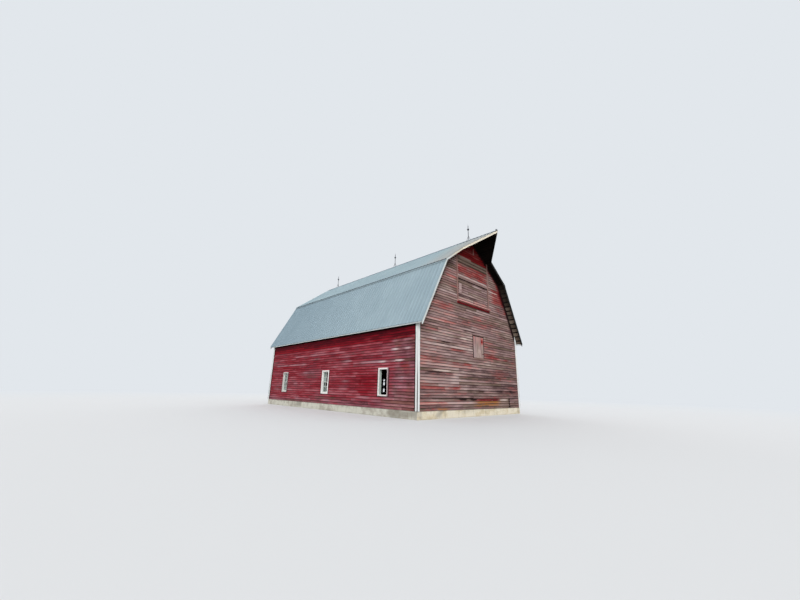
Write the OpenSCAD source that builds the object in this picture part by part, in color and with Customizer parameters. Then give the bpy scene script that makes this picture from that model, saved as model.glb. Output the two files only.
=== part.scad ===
/* [Overall size] */
// Width of the barn over its siding, across the gable
barn_w = 11700; // [9600:50:14000]
// Length of the barn over its siding, along the eaves
barn_l = 19200; // [16000:100:24000]
// Height of the roof line where it meets the outer face of the side walls
eave_h = 5660; // [5300:10:6300]
// Height of the roof line at the break between its two slopes
break_h = 9840; // [8600:10:10600]
// How far the break stands in from the outer face of the side wall
break_inset = 2170; // [1800:10:2600]
// Height of the roof line at the ridge
ridge_h = 12595; // [11800:5:14000]

/* [Roof] */
// How far the roof boards and fascia stand out past the side walls
eave_overhang = 180; // [120:10:300]
// How far the roof stands out past the gable walls
verge_overhang = 480; // [300:10:700]
// How far the point of the hay hood reaches past the front verge
hood_reach = 1680; // [1200:10:2200]
// Half the width of the hay hood where it starts
hood_half_w = 1850; // [1650:10:2200]
// Thickness of the roof boards
deck_t = 25; // [18:1:40]
// Depth of a rafter, square to the slope
rafter_d = 140; // [100:5:200]
// Thickness of a rafter
rafter_t = 45; // [35:1:70]
// Distance between rafters
rafter_pitch = 1200; // [600:50:1500]
// Thickness of the ridge board
ridge_board_t = 38; // [25:1:60]
// Depth of the ridge board
ridge_board_d = 240; // [180:5:300]
// Thickness of the metal sheet
sheet_t = 3; // [1:0.5:5]
// Distance between the ribs of the metal sheet
rib_pitch = 305; // [150:5:400]
// Height of a rib
rib_h = 28; // [15:1:40]
// Width of a rib at its foot
rib_foot = 62; // [40:1:90]
// Width of a rib along its top
rib_top = 26; // [15:1:38]
// How far the sheet stands out past the fascia and the barge boards
sheet_lip = 25; // [10:1:40]
// How far the upper sheets run out over the break
break_lip = 120; // [90:5:160]
// Width of one wing of the ridge cap
cap_wing = 170; // [120:5:250]
// Width of the flashing strip under the break
flashing_w = 170; // [120:5:220]

/* [Trim] */
// Depth of the barge boards, square to the slope
barge_d = 140; // [120:5:240]
// How far the feet of the barge boards hang below the fascia
barge_foot = 105; // [40:5:160]
// Height of the fascia along the eaves
fascia_h = 110; // [90:5:150]
// Thickness of barge boards, fascia, corner boards and casings
trim_t = 25; // [18:1:35]
// Width of a corner board
corner_board_w = 150; // [100:5:200]

/* [Walls] */
// Thickness of the framed wall behind the siding
wall_t = 160; // [120:5:240]
// Thickness of the siding
siding_t = 22; // [16:1:30]
// Height of siding that shows in each row
siding_row = 170; // [130:1:200]
// Height of the cove along the top of each siding board
cove_h = 34; // [20:1:50]
// Depth of that cove
cove_d = 9; // [5:1:12]
// Height of the foundation walls above the lowest ground
foundation_h = 470; // [300:10:700]
// Thickness of the foundation walls
foundation_t = 350; // [250:10:500]
// How far the siding laps down over the foundation
siding_lap = 20; // [10:1:60]
// How far the plate under the rafters lies below the eave height
plate_drop = 120; // [80:10:300]

/* [Side windows] */
// Width of the opening in the wall
window_w = 790; // [600:10:900]
// Height of the opening in the wall
window_h = 1560; // [1100:10:1600]
// Height of the opening's lower edge above the ground
window_sill_h = 1220; // [1100:5:1350]
// Distance from the front corner to the middle of the first window
window_first = 2870; // [2000:10:3500]
// Distance from the rear corner to the middle of the last window
window_last = 3170; // [2000:10:3500]
// Width of the casing boards round a window
casing_w = 95; // [80:5:150]
// Thickness of the boards that line the opening
liner_t = 28; // [20:1:40]
// Width of a sash stile or rail
stile_w = 52; // [40:1:70]
// Thickness of a sash
sash_t = 38; // [30:1:50]
// How far a sash stands back from the face of the siding
sash_setback = 60; // [40:1:90]
// Thickness of the window glass
pane_t = 4; // [3:1:6]

/* [Hay door and hatch] */
// Width of the hay door opening
hay_w = 3760; // [3200:10:3800]
// Height of the hay door opening
hay_h = 3000; // [2400:10:3400]
// How far its head lies below the roof line at the ridge
hay_head_drop = 2095; // [1900:5:2600]
// Height of its lower leaf
lower_leaf_h = 1590; // [1200:10:2000]
// How far the lower leaf stands back from the face of the siding
lower_leaf_setback = 30; // [0:5:60]
// Width of the boards up both sides of the hay door
hay_casing_w = 130; // [90:5:150]
// How far the ledge under the hay door stands out
ledge_reach = 160; // [120:5:260]
// Thickness of that ledge
ledge_t = 45; // [30:1:70]
// Height of the board on the siding under the ledge
ledge_board_h = 185; // [100:5:220]
// Thickness of the hay door leaves and the hatch
leaf_t = 50; // [40:1:70]
// Width of the hatch
hatch_w = 1260; // [900:10:1400]
// Height of the hatch
hatch_h = 1460; // [1000:10:1500]
// How far the middle of the hatch stands to the right of the gable's middle
hatch_x = 370; // [0:10:600]
// Height of the hatch's lower edge above the mow floor
hatch_rise = 440; // [200:10:800]
// Length of a hatch hinge strap
strap_l = 260; // [180:10:340]
// Height of a hatch hinge strap
strap_h = 70; // [40:5:90]
// Share of the hatch's height between a hinge and the hatch's end
hinge_share = 0.2; // [0.1:0.05:0.3]

/* [Floors and frame] */
// Thickness of the stable floor
floor_t = 120; // [80:5:150]
// Height of the mow floor's top above the ground
mow_floor_h = 3370; // [3250:10:3500]
// Thickness of the mow floor boards
mow_board_t = 30; // [22:1:40]
// Depth of a mow joist
joist_d = 240; // [180:5:260]
// Thickness of a mow joist
joist_t = 55; // [45:1:80]
// Distance between mow joists
joist_pitch = 800; // [500:50:1000]
// Depth of the girders under the joists
girder_d = 250; // [200:5:300]
// Thickness of girders and posts
post_t = 200; // [150:5:250]
// Distance of each row of posts from the barn's middle line
post_row_u = 1900; // [1500:10:2400]
// Number of posts in each row
post_n = 5; // [3:1:7]

/* [Hay track and rods] */
// Width of the hay track
track_w = 70; // [50:1:100]
// Height of the hay track
track_h = 90; // [60:1:120]
// How far the track stops short of the hood's point
track_back = 60; // [40:5:200]
// Height of a lightning rod above the ridge
rod_h = 1350; // [1000:10:1600]
// Diameter of a lightning rod
rod_d = 16; // [10:1:25]
// Diameter of the glass ball on a rod
ball_d = 112; // [80:1:130]
// Height of the middle of the ball above the ridge
ball_h = 880; // [500:10:900]
// Distance of the front rod from the front gable
rod_front = 270; // [150:10:600]
// Distance of the middle rod from the front gable
rod_middle = 8410; // [6000:10:11000]
// Distance of the rear rod from the rear gable
rod_rear = 1360; // [200:10:2000]

/* [Hidden] */
$fn = 48;

// Gap between pieces that lie on each other, and round a leaf that fills an opening
seat_gap = 0.3;
leaf_gap = 4;

half_w = barn_w / 2;
half_l = barn_l / 2;
// Outer and inner faces of the framed walls
core_u = half_w - siding_t;
core_l = half_l - siding_t;
inner_u = core_u - wall_t;
inner_l = core_l - wall_t;
siding_bottom = foundation_h - siding_lap;

// The roof line is the underside of the roof boards
break_u = half_w - break_inset;
lower_pitch = atan((break_h - eave_h) / break_inset);
upper_pitch = atan((ridge_h - break_h) / break_u);
mean_pitch = (lower_pitch + upper_pitch) / 2;
half_bend = (lower_pitch - upper_pitch) / 2;

fascia_u = half_w + eave_overhang;
verge_y = half_l + verge_overhang;
deck_u = fascia_u - trim_t;
deck_y = verge_y - trim_t;
sheet_y = verge_y + sheet_lip;
fascia_top = lower_z(fascia_u, deck_t);
fascia_bottom = fascia_top - fascia_h;
barge_bottom = fascia_bottom - barge_foot;
hood_tip = verge_y + hood_reach;
hood_angle = atan(hood_reach / hood_half_w);

// Heights above the roof line: the underside of the metal, and the top of its ribs
sheet_low = deck_t + seat_gap;
rib_crown = sheet_low + sheet_t + rib_h;
// The lower sheets stop where the upper ones clear their ribs
metal_gap = 8;
sheet_stop = (rib_h + 2 * sheet_t) / tan(2 * half_bend) + metal_gap;
flashing_start = sheet_stop + metal_gap;
// Underside of the ridge cap above the roof line
cap_low = rib_crown + seat_gap;
// Half the slot left between the upper sheets at the ridge
ridge_slot = 21;

plate_h = eave_h - plate_drop;
window_pitch = (barn_l - window_first - window_last) / 2;
window_ys = [for (i = [0 : 2]) -half_l + window_first + i * window_pitch];
mow_joist_top = mow_floor_h - mow_board_t;
girder_top = mow_joist_top - joist_d;
girder_bottom = girder_top - girder_d;
sash_u = half_w - sash_setback - sash_t;
sash_w = window_w - 2 * liner_t - 2 * seat_gap;
sash_h = window_h - 2 * liner_t - 2 * seat_gap;
hay_head_h = ridge_h - hay_head_drop;
hay_sill_h = hay_head_h - hay_h;
hay_joint_h = hay_sill_h + lower_leaf_h;
hatch_sill_h = mow_floor_h + hatch_rise;
track_top = ridge_h - ridge_board_d;
track_front = hood_tip - track_back - trim_t / cos(hood_angle);
far = 2 * (barn_l + barn_w);

// Height of the lower slope, and of the upper one, raised square to the slope by d
function lower_z(u, d) = break_h - (u - break_u) * tan(lower_pitch) + d / cos(lower_pitch);
function upper_z(u, d) = ridge_h - u * tan(upper_pitch) + d / cos(upper_pitch);
// The corner between the slopes, raised by d
function bend(d) = [break_u + d * sin(mean_pitch) / cos(half_bend),
    break_h + d * cos(mean_pitch) / cos(half_bend)];
// A point on the lower slope, s down from the corner and d above the roof line
function down_lower(s, d) = [break_u + s * cos(lower_pitch) + d * sin(lower_pitch),
    break_h - s * sin(lower_pitch) + d * cos(lower_pitch)];
// How far the middle of row i stands from the barn's middle when n share a length
function spread(i, n, pitch) = (i - (n - 1) / 2) * pitch;

// An outline in X and Z, drawn out from y0 to y1
module along_y(y0, y1) {
    translate([0, y1, 0]) rotate([90, 0, 0]) linear_extrude(height = y1 - y0) children();
}

// An outline in Y and Z, drawn out from x0 to x1
module along_x(x0, x1) {
    translate([x0, 0, 0]) rotate([90, 0, 90]) linear_extrude(height = x1 - x0) children();
}

module both_sides() {
    children();
    mirror([1, 0, 0]) children();
}

// A box given by its corners
module block(low, high) {
    translate(low) cube(high - low);
}

// The gable's outline just under the roof boards, out to u at the sides
module gable_shape(u, bottom) {
    top = [bend(-seat_gap)[0], bend(-seat_gap)[1]];
    side_z = lower_z(u, -seat_gap);
    polygon([[-u, bottom], [u, bottom], [u, side_z], top, [0, upper_z(0, -seat_gap)],
        [-top[0], top[1]], [-u, side_z]]);
}

// Foundation walls
module foundation_sides() {
    color("lemonchiffon") both_sides()
        block([core_u - foundation_t, -core_l, 0], [core_u, core_l, foundation_h]);
}

module foundation_ends() {
    reach = core_u - foundation_t;
    color("lemonchiffon") for (side = [-1, 1])
        translate([0, side * (core_l - foundation_t / 2), foundation_h / 2])
            cube([2 * reach, foundation_t, foundation_h], center = true);
}

// Floors and the frame that carries the mow
module stable_floor() {
    color("darkgray") block([foundation_t - core_u, foundation_t - core_l, 0],
        [core_u - foundation_t, core_l - foundation_t, floor_t]);
}

module mow_posts() {
    pitch = 2 * inner_l / post_n;
    color("peru") both_sides() for (i = [0 : post_n - 1])
        translate([post_row_u, spread(i, post_n, pitch), (floor_t + girder_bottom) / 2])
            cube([post_t, post_t, girder_bottom - floor_t], center = true);
}

module mow_girders() {
    color("peru") both_sides() block([post_row_u - post_t / 2, -inner_l, girder_bottom],
        [post_row_u + post_t / 2, inner_l, girder_top]);
}

module mow_joists() {
    n = floor((2 * inner_l - joist_t) / joist_pitch) + 1;
    color("burlywood") for (i = [0 : n - 1])
        translate([0, spread(i, n, joist_pitch), (girder_top + mow_joist_top) / 2])
            cube([2 * inner_u, joist_t, joist_d], center = true);
}

module mow_floor() {
    color("tan") block([-inner_u, -inner_l, mow_joist_top], [inner_u, inner_l, mow_floor_h]);
}

// Framed walls
module window_holes() {
    for (y = window_ys) translate([half_w, y, window_sill_h + window_h / 2])
        cube([4 * wall_t, window_w, window_h], center = true);
}

module side_wall() {
    color("maroon") difference() {
        block([inner_u, -inner_l, foundation_h], [core_u, inner_l, plate_h]);
        window_holes();
    }
}

module left_wall() mirror([1, 0, 0]) side_wall();

module right_wall() side_wall();

// The part of the gable between two heights, at the front wall's place
module front_wall_part(bottom, top) {
    along_y(-core_l, -inner_l) intersection() {
        gable_shape(core_u, foundation_h);
        translate([-far / 2, bottom]) square([far, top - bottom]);
    }
}

module hatch_hole() {
    block([hatch_x - hatch_w / 2, -far, hatch_sill_h],
        [hatch_x + hatch_w / 2, 0, hatch_sill_h + hatch_h]);
}

module hay_hole() {
    block([-hay_w / 2, -far, hay_sill_h], [hay_w / 2, 0, hay_head_h]);
}

// Slot through the peak for the ridge board and the hay track
module track_hole() {
    slot_w = track_w + 2 * leaf_gap;
    block([-slot_w / 2, -far, track_top - track_h - leaf_gap], [slot_w / 2, 0, track_top]);
    block([-ridge_board_t / 2, -far, track_top - leaf_gap], [ridge_board_t / 2, 0, far]);
}

module front_wall() {
    color("rosybrown") difference() {
        front_wall_part(foundation_h, hay_sill_h);
        hatch_hole();
    }
}

module front_wall_cheeks() {
    color("rosybrown") difference() {
        front_wall_part(hay_sill_h, hay_head_h);
        hay_hole();
    }
}

module front_wall_peak() {
    color("rosybrown") difference() {
        front_wall_part(hay_head_h, far);
        track_hole();
    }
}

module rear_wall() {
    color("maroon") along_y(inner_l, core_l) gable_shape(core_u, foundation_h);
}

// Drop siding: flat boards with a cove along the top of each
module siding_sheet(run, top) {
    rows = ceil((top - siding_bottom) / siding_row);
    face = [for (i = [0 : rows - 1], k = [0 : 3])
        [k < 2 ? siding_t : siding_t - cove_d,
            siding_bottom + (i + 1) * siding_row - [siding_row, cove_h, cove_h / 2, 0][k]]];
    along_y(-run / 2, run / 2)
        polygon(concat([[0, siding_bottom]], face, [[0, siding_bottom + rows * siding_row]]));
}

module side_siding() {
    color("firebrick") difference() {
        intersection() {
            translate([core_u, 0, 0]) siding_sheet(2 * core_l, lower_z(core_u, 0));
            along_y(-half_l, half_l) gable_shape(half_w, 0);
        }
        window_holes();
    }
}

module left_siding() mirror([1, 0, 0]) side_siding();

module right_siding() side_siding();

module gable_siding() {
    intersection() {
        rotate([0, 0, -90]) translate([core_l, 0, 0]) siding_sheet(barn_w, ridge_h);
        along_y(-half_l, 0) gable_shape(half_w, 0);
    }
}

module front_siding() {
    color("indianred") difference() {
        gable_siding();
        hatch_hole();
        hay_hole();
        track_hole();
    }
}

module rear_siding() color("firebrick") rotate([0, 0, 180]) gable_siding();

// White trim
module corner_boards() {
    color("white") intersection() {
        for (turn = [0, 180]) rotate([0, 0, turn]) both_sides() {
            block([half_w - corner_board_w, -half_l - trim_t, siding_bottom],
                [half_w + trim_t, -half_l, break_h]);
            block([half_w, -half_l - trim_t, siding_bottom],
                [half_w + trim_t, -half_l + corner_board_w, break_h]);
        }
        along_y(-verge_y, verge_y) gable_shape(half_w + trim_t, 0);
    }
}

module eave_fascias() {
    color("white") both_sides()
        block([deck_u, -deck_y, fascia_bottom], [fascia_u, deck_y, fascia_top]);
}

// Barge boards as outlines: the stretch under the lower slope and under the upper one
module lower_barge() {
    low = deck_t - barge_d;
    foot_u = break_u + (lower_z(break_u, low) - barge_bottom) / tan(lower_pitch);
    polygon([bend(deck_t), bend(low), [foot_u, barge_bottom], [fascia_u, barge_bottom],
        [fascia_u, fascia_top]]);
}

module upper_barge(from_u) {
    low = deck_t - barge_d;
    polygon([bend(deck_t), [from_u, upper_z(from_u, deck_t)], [from_u, upper_z(from_u, low)],
        bend(low)]);
}

// Plan of the strip that one hood barge board stands on
module hood_edge_plan() {
    polygon([[hood_half_w, -verge_y], [0, -hood_tip], [0, -hood_tip + trim_t / cos(hood_angle)],
        [hood_half_w + trim_t / tan(hood_angle) - trim_t / sin(hood_angle), -deck_y],
        [hood_half_w, -deck_y]]);
}

module front_barge_boards() {
    color("white") both_sides() {
        along_y(-verge_y, -deck_y) lower_barge();
        along_y(-verge_y, -deck_y) upper_barge(hood_half_w);
        intersection() {
            linear_extrude(height = far) hood_edge_plan();
            along_y(-hood_tip, -deck_y) upper_barge(0);
        }
    }
}

module rear_barge_boards() {
    color("white") both_sides() along_y(deck_y, verge_y) {
        lower_barge();
        upper_barge(0);
    }
}

// Side windows: every opening has a frame, and the nearest one on the left has lost its sash
module at_windows(ys) {
    for (y = ys) translate([0, y, window_sill_h + window_h / 2]) children();
}

module window_frame() {
    outer = [window_w + 2 * (casing_w - liner_t), window_h + 2 * (casing_w - liner_t)];
    clear = [window_w - 2 * liner_t, window_h - 2 * liner_t];
    difference() {
        union() {
            translate([half_w + trim_t / 2, 0, 0]) cube([trim_t, outer[0], outer[1]], center = true);
            translate([(inner_u + half_w + trim_t) / 2, 0, 0])
                cube([half_w + trim_t - inner_u, window_w, window_h], center = true);
        }
        translate([half_w, 0, 0]) cube([4 * wall_t, clear[0], clear[1]], center = true);
    }
}

module window_frames() {
    color("white") both_sides() at_windows(window_ys) window_frame();
}

module sash() {
    difference() {
        translate([sash_u + sash_t / 2, 0, 0]) cube([sash_t, sash_w, sash_h], center = true);
        translate([sash_u, 0, 0])
            cube([4 * sash_t, sash_w - 2 * stile_w, sash_h - 2 * stile_w], center = true);
    }
}

module pane() {
    translate([sash_u + sash_t / 2, 0, 0])
        cube([pane_t, sash_w - 2 * stile_w, sash_h - 2 * stile_w], center = true);
}

module window_sashes() {
    color("gainsboro") {
        at_windows(window_ys) sash();
        mirror([1, 0, 0]) at_windows([window_ys[1], window_ys[2]]) sash();
    }
}

module window_panes() {
    color("lightblue") {
        at_windows(window_ys) pane();
        mirror([1, 0, 0]) at_windows([window_ys[1], window_ys[2]]) pane();
    }
}

// Hay door
module hay_leaf(bottom, top, setback) {
    block([-hay_w / 2 + leaf_gap, setback - half_l, bottom],
        [hay_w / 2 - leaf_gap, setback + leaf_t - half_l, top]);
}

module hay_door_upper_leaf() color("brown") hay_leaf(hay_joint_h + leaf_gap, hay_head_h, 0);

module hay_door_lower_leaf() {
    color("rosybrown") hay_leaf(hay_sill_h, hay_joint_h, lower_leaf_setback);
}

module hay_door_casing() {
    color("rosybrown") both_sides() along_y(-half_l - trim_t, -half_l) intersection() {
        gable_shape(half_w, 0);
        translate([hay_w / 2, hay_sill_h]) square([hay_casing_w, far]);
    }
}

module hay_door_ledge() {
    reach = hay_w / 2 + hay_casing_w;
    front = -half_l - ledge_reach;
    under = hay_sill_h - ledge_t;
    foot = under - ledge_board_h;
    color("rosybrown") along_x(-reach, reach)
        polygon([[-half_l, hay_sill_h], [front, hay_sill_h], [front, under],
            [-half_l - trim_t, under], [-half_l - trim_t, foot], [-half_l, foot]]);
}

// Hatch
module hatch_leaf() {
    color("thistle") block([hatch_x - hatch_w / 2 + leaf_gap, -half_l, hatch_sill_h],
        [hatch_x + hatch_w / 2 - leaf_gap, leaf_t - half_l, hatch_sill_h + hatch_h - leaf_gap]);
}

module hatch_hinges() {
    knuckle_r = 9;
    strap_t = 6;
    hinge_x = hatch_x + hatch_w / 2;
    color("darkred") for (share = [hinge_share, 1 - hinge_share])
        translate([hinge_x, -half_l, hatch_sill_h + share * hatch_h]) {
            translate([-strap_l / 2, -strap_t / 2, 0]) cube([strap_l, strap_t, strap_h], center = true);
            translate([strap_h / 2, -strap_t / 2, 0])
                cube([strap_h, strap_t, 2 * strap_h], center = true);
            translate([0, -knuckle_r, 0]) cylinder(r = knuckle_r, h = 2 * strap_h, center = true);
        }
}

// Roof frame: a lower rafter from the plate to the break, and an upper one on to the ridge board
module lower_rafter_shape() {
    top = -seat_gap;
    low = top - rafter_d;
    intersection() {
        polygon([bend(top), [half_w, lower_z(half_w, top)], [half_w, lower_z(half_w, low)],
            bend(low)]);
        translate([0, plate_h]) square([core_u, far]);
    }
}

module upper_rafter_shape() {
    top = -seat_gap;
    low = top - rafter_d;
    head_u = ridge_board_t / 2;
    top_end = bend(top)[0] - seat_gap;
    low_end = bend(low)[0] - seat_gap;
    polygon([[head_u, upper_z(head_u, top)], [top_end, upper_z(top_end, top)],
        [low_end, upper_z(low_end, low)], [head_u, upper_z(head_u, low)]]);
}

module rafters() {
    n = floor((2 * inner_l - rafter_t) / rafter_pitch);
    color("burlywood") both_sides() for (i = [0 : n - 1]) {
        y = spread(i, n, rafter_pitch);
        along_y(y - rafter_t / 2, y + rafter_t / 2) lower_rafter_shape();
        along_y(y - rafter_t / 2, y + rafter_t / 2) upper_rafter_shape();
    }
}

module ridge_board() {
    color("burlywood") along_y(-track_front, inner_l) intersection() {
        gable_shape(half_w, 0);
        translate([-ridge_board_t / 2, track_top]) square([ridge_board_t, far]);
    }
}

// Roof boards
module lower_deck() {
    color("dimgray") along_y(-deck_y, deck_y)
        polygon([bend(0), bend(deck_t), [deck_u, lower_z(deck_u, deck_t)], [deck_u, lower_z(deck_u, 0)]]);
}

module upper_deck_shape() {
    polygon([[0, ridge_h], [0, upper_z(0, deck_t)], bend(deck_t), bend(0)]);
}

module upper_deck() color("dimgray") along_y(-deck_y, deck_y) upper_deck_shape();

module hood_deck() {
    color("dimgray") intersection() {
        along_y(-hood_tip, -deck_y) upper_deck_shape();
        linear_extrude(height = far) polygon([[0, -deck_y],
            [hood_half_w + trim_t / tan(hood_angle) - trim_t / sin(hood_angle), -deck_y],
            [0, -hood_tip + trim_t / cos(hood_angle)]]);
    }
}

module left_lower_deck() mirror([1, 0, 0]) lower_deck();

module left_upper_deck() mirror([1, 0, 0]) upper_deck();

module right_upper_deck() upper_deck();

module right_lower_deck() lower_deck();

module hood_left_deck() mirror([1, 0, 0]) hood_deck();

module hood_right_deck() hood_deck();

// Ribbed metal, drawn down the slope from a point on its underside
module ribbed_sheet(start, pitch, run, front, back) {
    ribs = floor((back - front - rib_foot) / rib_pitch);
    mids = [for (i = [0 : ribs]) (front + back) / 2 + spread(i, ribs + 1, rib_pitch)];
    line = [for (y = mids, k = [0 : 3])
        [y + [-rib_foot, -rib_top, rib_top, rib_foot][k] / 2, [0, rib_h, rib_h, 0][k]]];
    upper = concat([[front, 0]], line, [[back, 0]]);
    count = len(upper);
    translate([start[0], 0, start[1]]) rotate([0, pitch, 0]) rotate([90, 0, 90])
        linear_extrude(height = run)
            polygon(concat([for (p = upper) [p[0], p[1] + sheet_t]],
                [for (i = [1 : count]) upper[count - i]]));
}

module lower_roofing() {
    start = down_lower(sheet_stop, sheet_low);
    run = (fascia_u + sheet_lip - start[0]) / cos(lower_pitch);
    color("lightsteelblue") ribbed_sheet(start, lower_pitch, run, -sheet_y, sheet_y);
}

// Plan of the upper slopes' metal, with the point over the hood
module upper_sheet_plan() {
    lip_x = hood_half_w - sheet_lip / tan(hood_angle) + sheet_lip / sin(hood_angle);
    polygon([[-half_w, sheet_y], [half_w, sheet_y], [half_w, -sheet_y], [lip_x, -sheet_y],
        [0, -hood_tip - sheet_lip / cos(hood_angle)], [-lip_x, -sheet_y], [-half_w, -sheet_y]]);
}

module upper_roofing() {
    run = (bend(sheet_low)[0] - ridge_slot) / cos(upper_pitch) + break_lip;
    // The ribs keep one spacing from the rear verge to the hood's point
    hood_ribs = ceil((hood_reach + sheet_lip) / rib_pitch);
    color("lightsteelblue") intersection() {
        ribbed_sheet([ridge_slot, upper_z(ridge_slot, sheet_low)], upper_pitch, run,
            -sheet_y - hood_ribs * rib_pitch, sheet_y + hood_ribs * rib_pitch);
        linear_extrude(height = far) upper_sheet_plan();
    }
}

module left_lower_roofing() mirror([1, 0, 0]) lower_roofing();

module left_upper_roofing() mirror([1, 0, 0]) upper_roofing();

module right_upper_roofing() upper_roofing();

module right_lower_roofing() lower_roofing();

// Strip along the ribs just under the break
module break_flashings() {
    color("slategray") both_sides() along_y(-sheet_y, sheet_y)
        polygon([down_lower(flashing_start, cap_low),
            down_lower(flashing_start + flashing_w, cap_low),
            down_lower(flashing_start + flashing_w, cap_low + sheet_t),
            down_lower(flashing_start, cap_low + sheet_t)]);
}

// A bent strip over the ridge, with wings of one width, from height d above the roof line
module ridge_strip(wing, d, t) {
    u = wing * cos(upper_pitch);
    polygon([[0, upper_z(0, d)], [u, upper_z(u, d)], [u, upper_z(u, d + t)], [0, upper_z(0, d + t)],
        [-u, upper_z(u, d + t)], [-u, upper_z(u, d)]]);
}

module ridge_cap() {
    color("slategray") intersection() {
        along_y(-far, sheet_y) ridge_strip(cap_wing, cap_low, sheet_t);
        linear_extrude(height = far) upper_sheet_plan();
    }
}

// Hay track under the ridge board, out to the hood's point
module hay_track() {
    web = track_w / 4;
    color("black") along_y(-track_front, inner_l) {
        translate([-track_w / 2, track_top - web]) square([track_w, web]);
        translate([-web / 2, track_top - track_h]) square([web, track_h]);
        translate([-track_w / 2, track_top - track_h]) square([track_w, web]);
    }
}

// Lightning rods on saddles over the ridge cap, and the small ball on the hood's point
module rod_saddle() {
    saddle_l = 70;
    saddle_wing = 60;
    saddle_t = 6;
    along_y(-saddle_l / 2, saddle_l / 2)
        ridge_strip(saddle_wing, cap_low + sheet_t + seat_gap, saddle_t);
}

module lightning_rods() {
    top = upper_z(0, cap_low + sheet_t + seat_gap);
    point_l = 90;
    point_d = 3;
    tip_ball_d = 90;
    color("midnightblue") {
        for (y = [rod_front - half_l, rod_middle - half_l, half_l - rod_rear])
            translate([0, y, 0]) {
                rod_saddle();
                translate([0, 0, top]) cylinder(d = rod_d, h = rod_h - point_l);
                translate([0, 0, top + rod_h - point_l])
                    cylinder(d1 = rod_d, d2 = point_d, h = point_l);
                translate([0, 0, top + ball_h]) sphere(d = ball_d);
            }
        translate([0, -track_front, 0]) {
            rod_saddle();
            translate([0, 0, top + tip_ball_d / 2]) sphere(d = tip_ball_d);
        }
    }
}

foundation_sides();
foundation_ends();
stable_floor();
mow_posts();
mow_girders();
mow_joists();
mow_floor();
left_wall();
right_wall();
front_wall();
front_wall_cheeks();
front_wall_peak();
rear_wall();
left_siding();
right_siding();
front_siding();
rear_siding();
corner_boards();
eave_fascias();
front_barge_boards();
rear_barge_boards();
window_frames();
window_sashes();
window_panes();
hay_door_upper_leaf();
hay_door_lower_leaf();
hay_door_casing();
hay_door_ledge();
hatch_leaf();
hatch_hinges();
rafters();
ridge_board();
left_lower_deck();
left_upper_deck();
right_upper_deck();
right_lower_deck();
hood_left_deck();
hood_right_deck();
left_lower_roofing();
left_upper_roofing();
right_upper_roofing();
right_lower_roofing();
break_flashings();
ridge_cap();
hay_track();
lightning_rods();
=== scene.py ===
import random
from math import atan2, ceil, cos, pi, radians, sin, tan

import bmesh
import bpy
from mathutils import Matrix, Vector, noise


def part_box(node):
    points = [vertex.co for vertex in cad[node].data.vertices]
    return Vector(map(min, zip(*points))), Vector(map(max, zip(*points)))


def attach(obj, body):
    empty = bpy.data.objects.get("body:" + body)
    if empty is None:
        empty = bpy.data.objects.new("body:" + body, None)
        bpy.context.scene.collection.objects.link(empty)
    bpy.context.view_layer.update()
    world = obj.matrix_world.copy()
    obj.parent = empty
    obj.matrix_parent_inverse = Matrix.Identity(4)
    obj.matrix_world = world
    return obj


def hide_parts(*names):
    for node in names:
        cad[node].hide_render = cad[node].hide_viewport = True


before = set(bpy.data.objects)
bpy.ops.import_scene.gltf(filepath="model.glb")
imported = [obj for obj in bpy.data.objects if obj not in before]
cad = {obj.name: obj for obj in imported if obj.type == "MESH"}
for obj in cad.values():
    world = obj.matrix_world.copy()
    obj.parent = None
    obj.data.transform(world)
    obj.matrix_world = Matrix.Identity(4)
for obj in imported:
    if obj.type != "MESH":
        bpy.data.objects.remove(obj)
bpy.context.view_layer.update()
rng = random.Random(7)

# Sizes in metres, as in the CAD. U and X go across the barn, Y along it, Z up
HALF_W, HALF_L = 5.85, 9.6
SIDING_T = 0.022
CORE_U, CORE_L = HALF_W - SIDING_T, HALF_L - SIDING_T
# Siding rows, the cove along each board's top, the gaps below a board and at its ends, and how
# far from the core a flat board over the siding stands
ROW, COVE_H, COVE_D = 0.17, 0.034, 0.009
SIDING_LOW, LAP_GAP, END_GAP = 0.45, 0.003, 0.0015
OVER = SIDING_T + 0.02
# Roof
EAVE_Z, BREAK_U, BREAK_Z, RIDGE_Z = 5.66, 3.68, 9.84, 12.595
LOWER = atan2(BREAK_Z - EAVE_Z, HALF_W - BREAK_U)
UPPER = atan2(RIDGE_Z - BREAK_Z, BREAK_U)
VERGE_Y, DECK_Y, DECK_U, HOOD_TIP = 10.08, 10.055, 6.005, 11.76
TRIM_T, DECK_T, RIB_PITCH, SHEET_RIBS = 0.025, 0.025, 0.305, 3
SEAT_GAP, SHEET_T, RIB_H = 0.0003, 0.003, 0.028
RIB_TOP = DECK_T + SEAT_GAP + SHEET_T + RIB_H
HOOD_HALF_W = 1.85
HOOD_ANGLE = atan2(HOOD_TIP - VERGE_Y, HOOD_HALF_W)
# Openings and fittings
WINDOW_YS = (-6.73, -0.15, 6.43)
WINDOW_Z, WINDOW_W = (1.22, 2.78), 0.79
LINER_T, STILE_W, SASH_T, SASH_BACK = 0.028, 0.052, 0.038, 0.06
HAY_X, HAY_Z, HAY_JOINT = 1.88, (7.5, 10.5), 9.09
HATCH_X, HATCH_Z = (-0.26, 1), (3.81, 5.27)
HINGE_ZS, LEAF_GAP = (4.102, 4.978), 0.006
TRACK_SLOT = (-0.043, 0.043, 12.25, 12.6)
ROD_YS = (0.27 - HALF_L, 8.41 - HALF_L, HALF_L - 1.36)
FOOT_T, FOOT_H = 0.35, 0.47
SIDES = ((-1, "left"), (1, "right"))


def roof_u(z):
    """Half the width under the roof boards at height z."""
    if z <= BREAK_Z:
        return BREAK_U + (BREAK_Z - z) / tan(LOWER)
    return max(0, (RIDGE_Z - z) / tan(UPPER))


def smooth(x, low, high):
    """0 up to low and 1 from high on, with a soft step between them."""
    t = min(1, max(0, (x - low) / (high - low)))
    return t * t * (3 - 2 * t)


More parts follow.
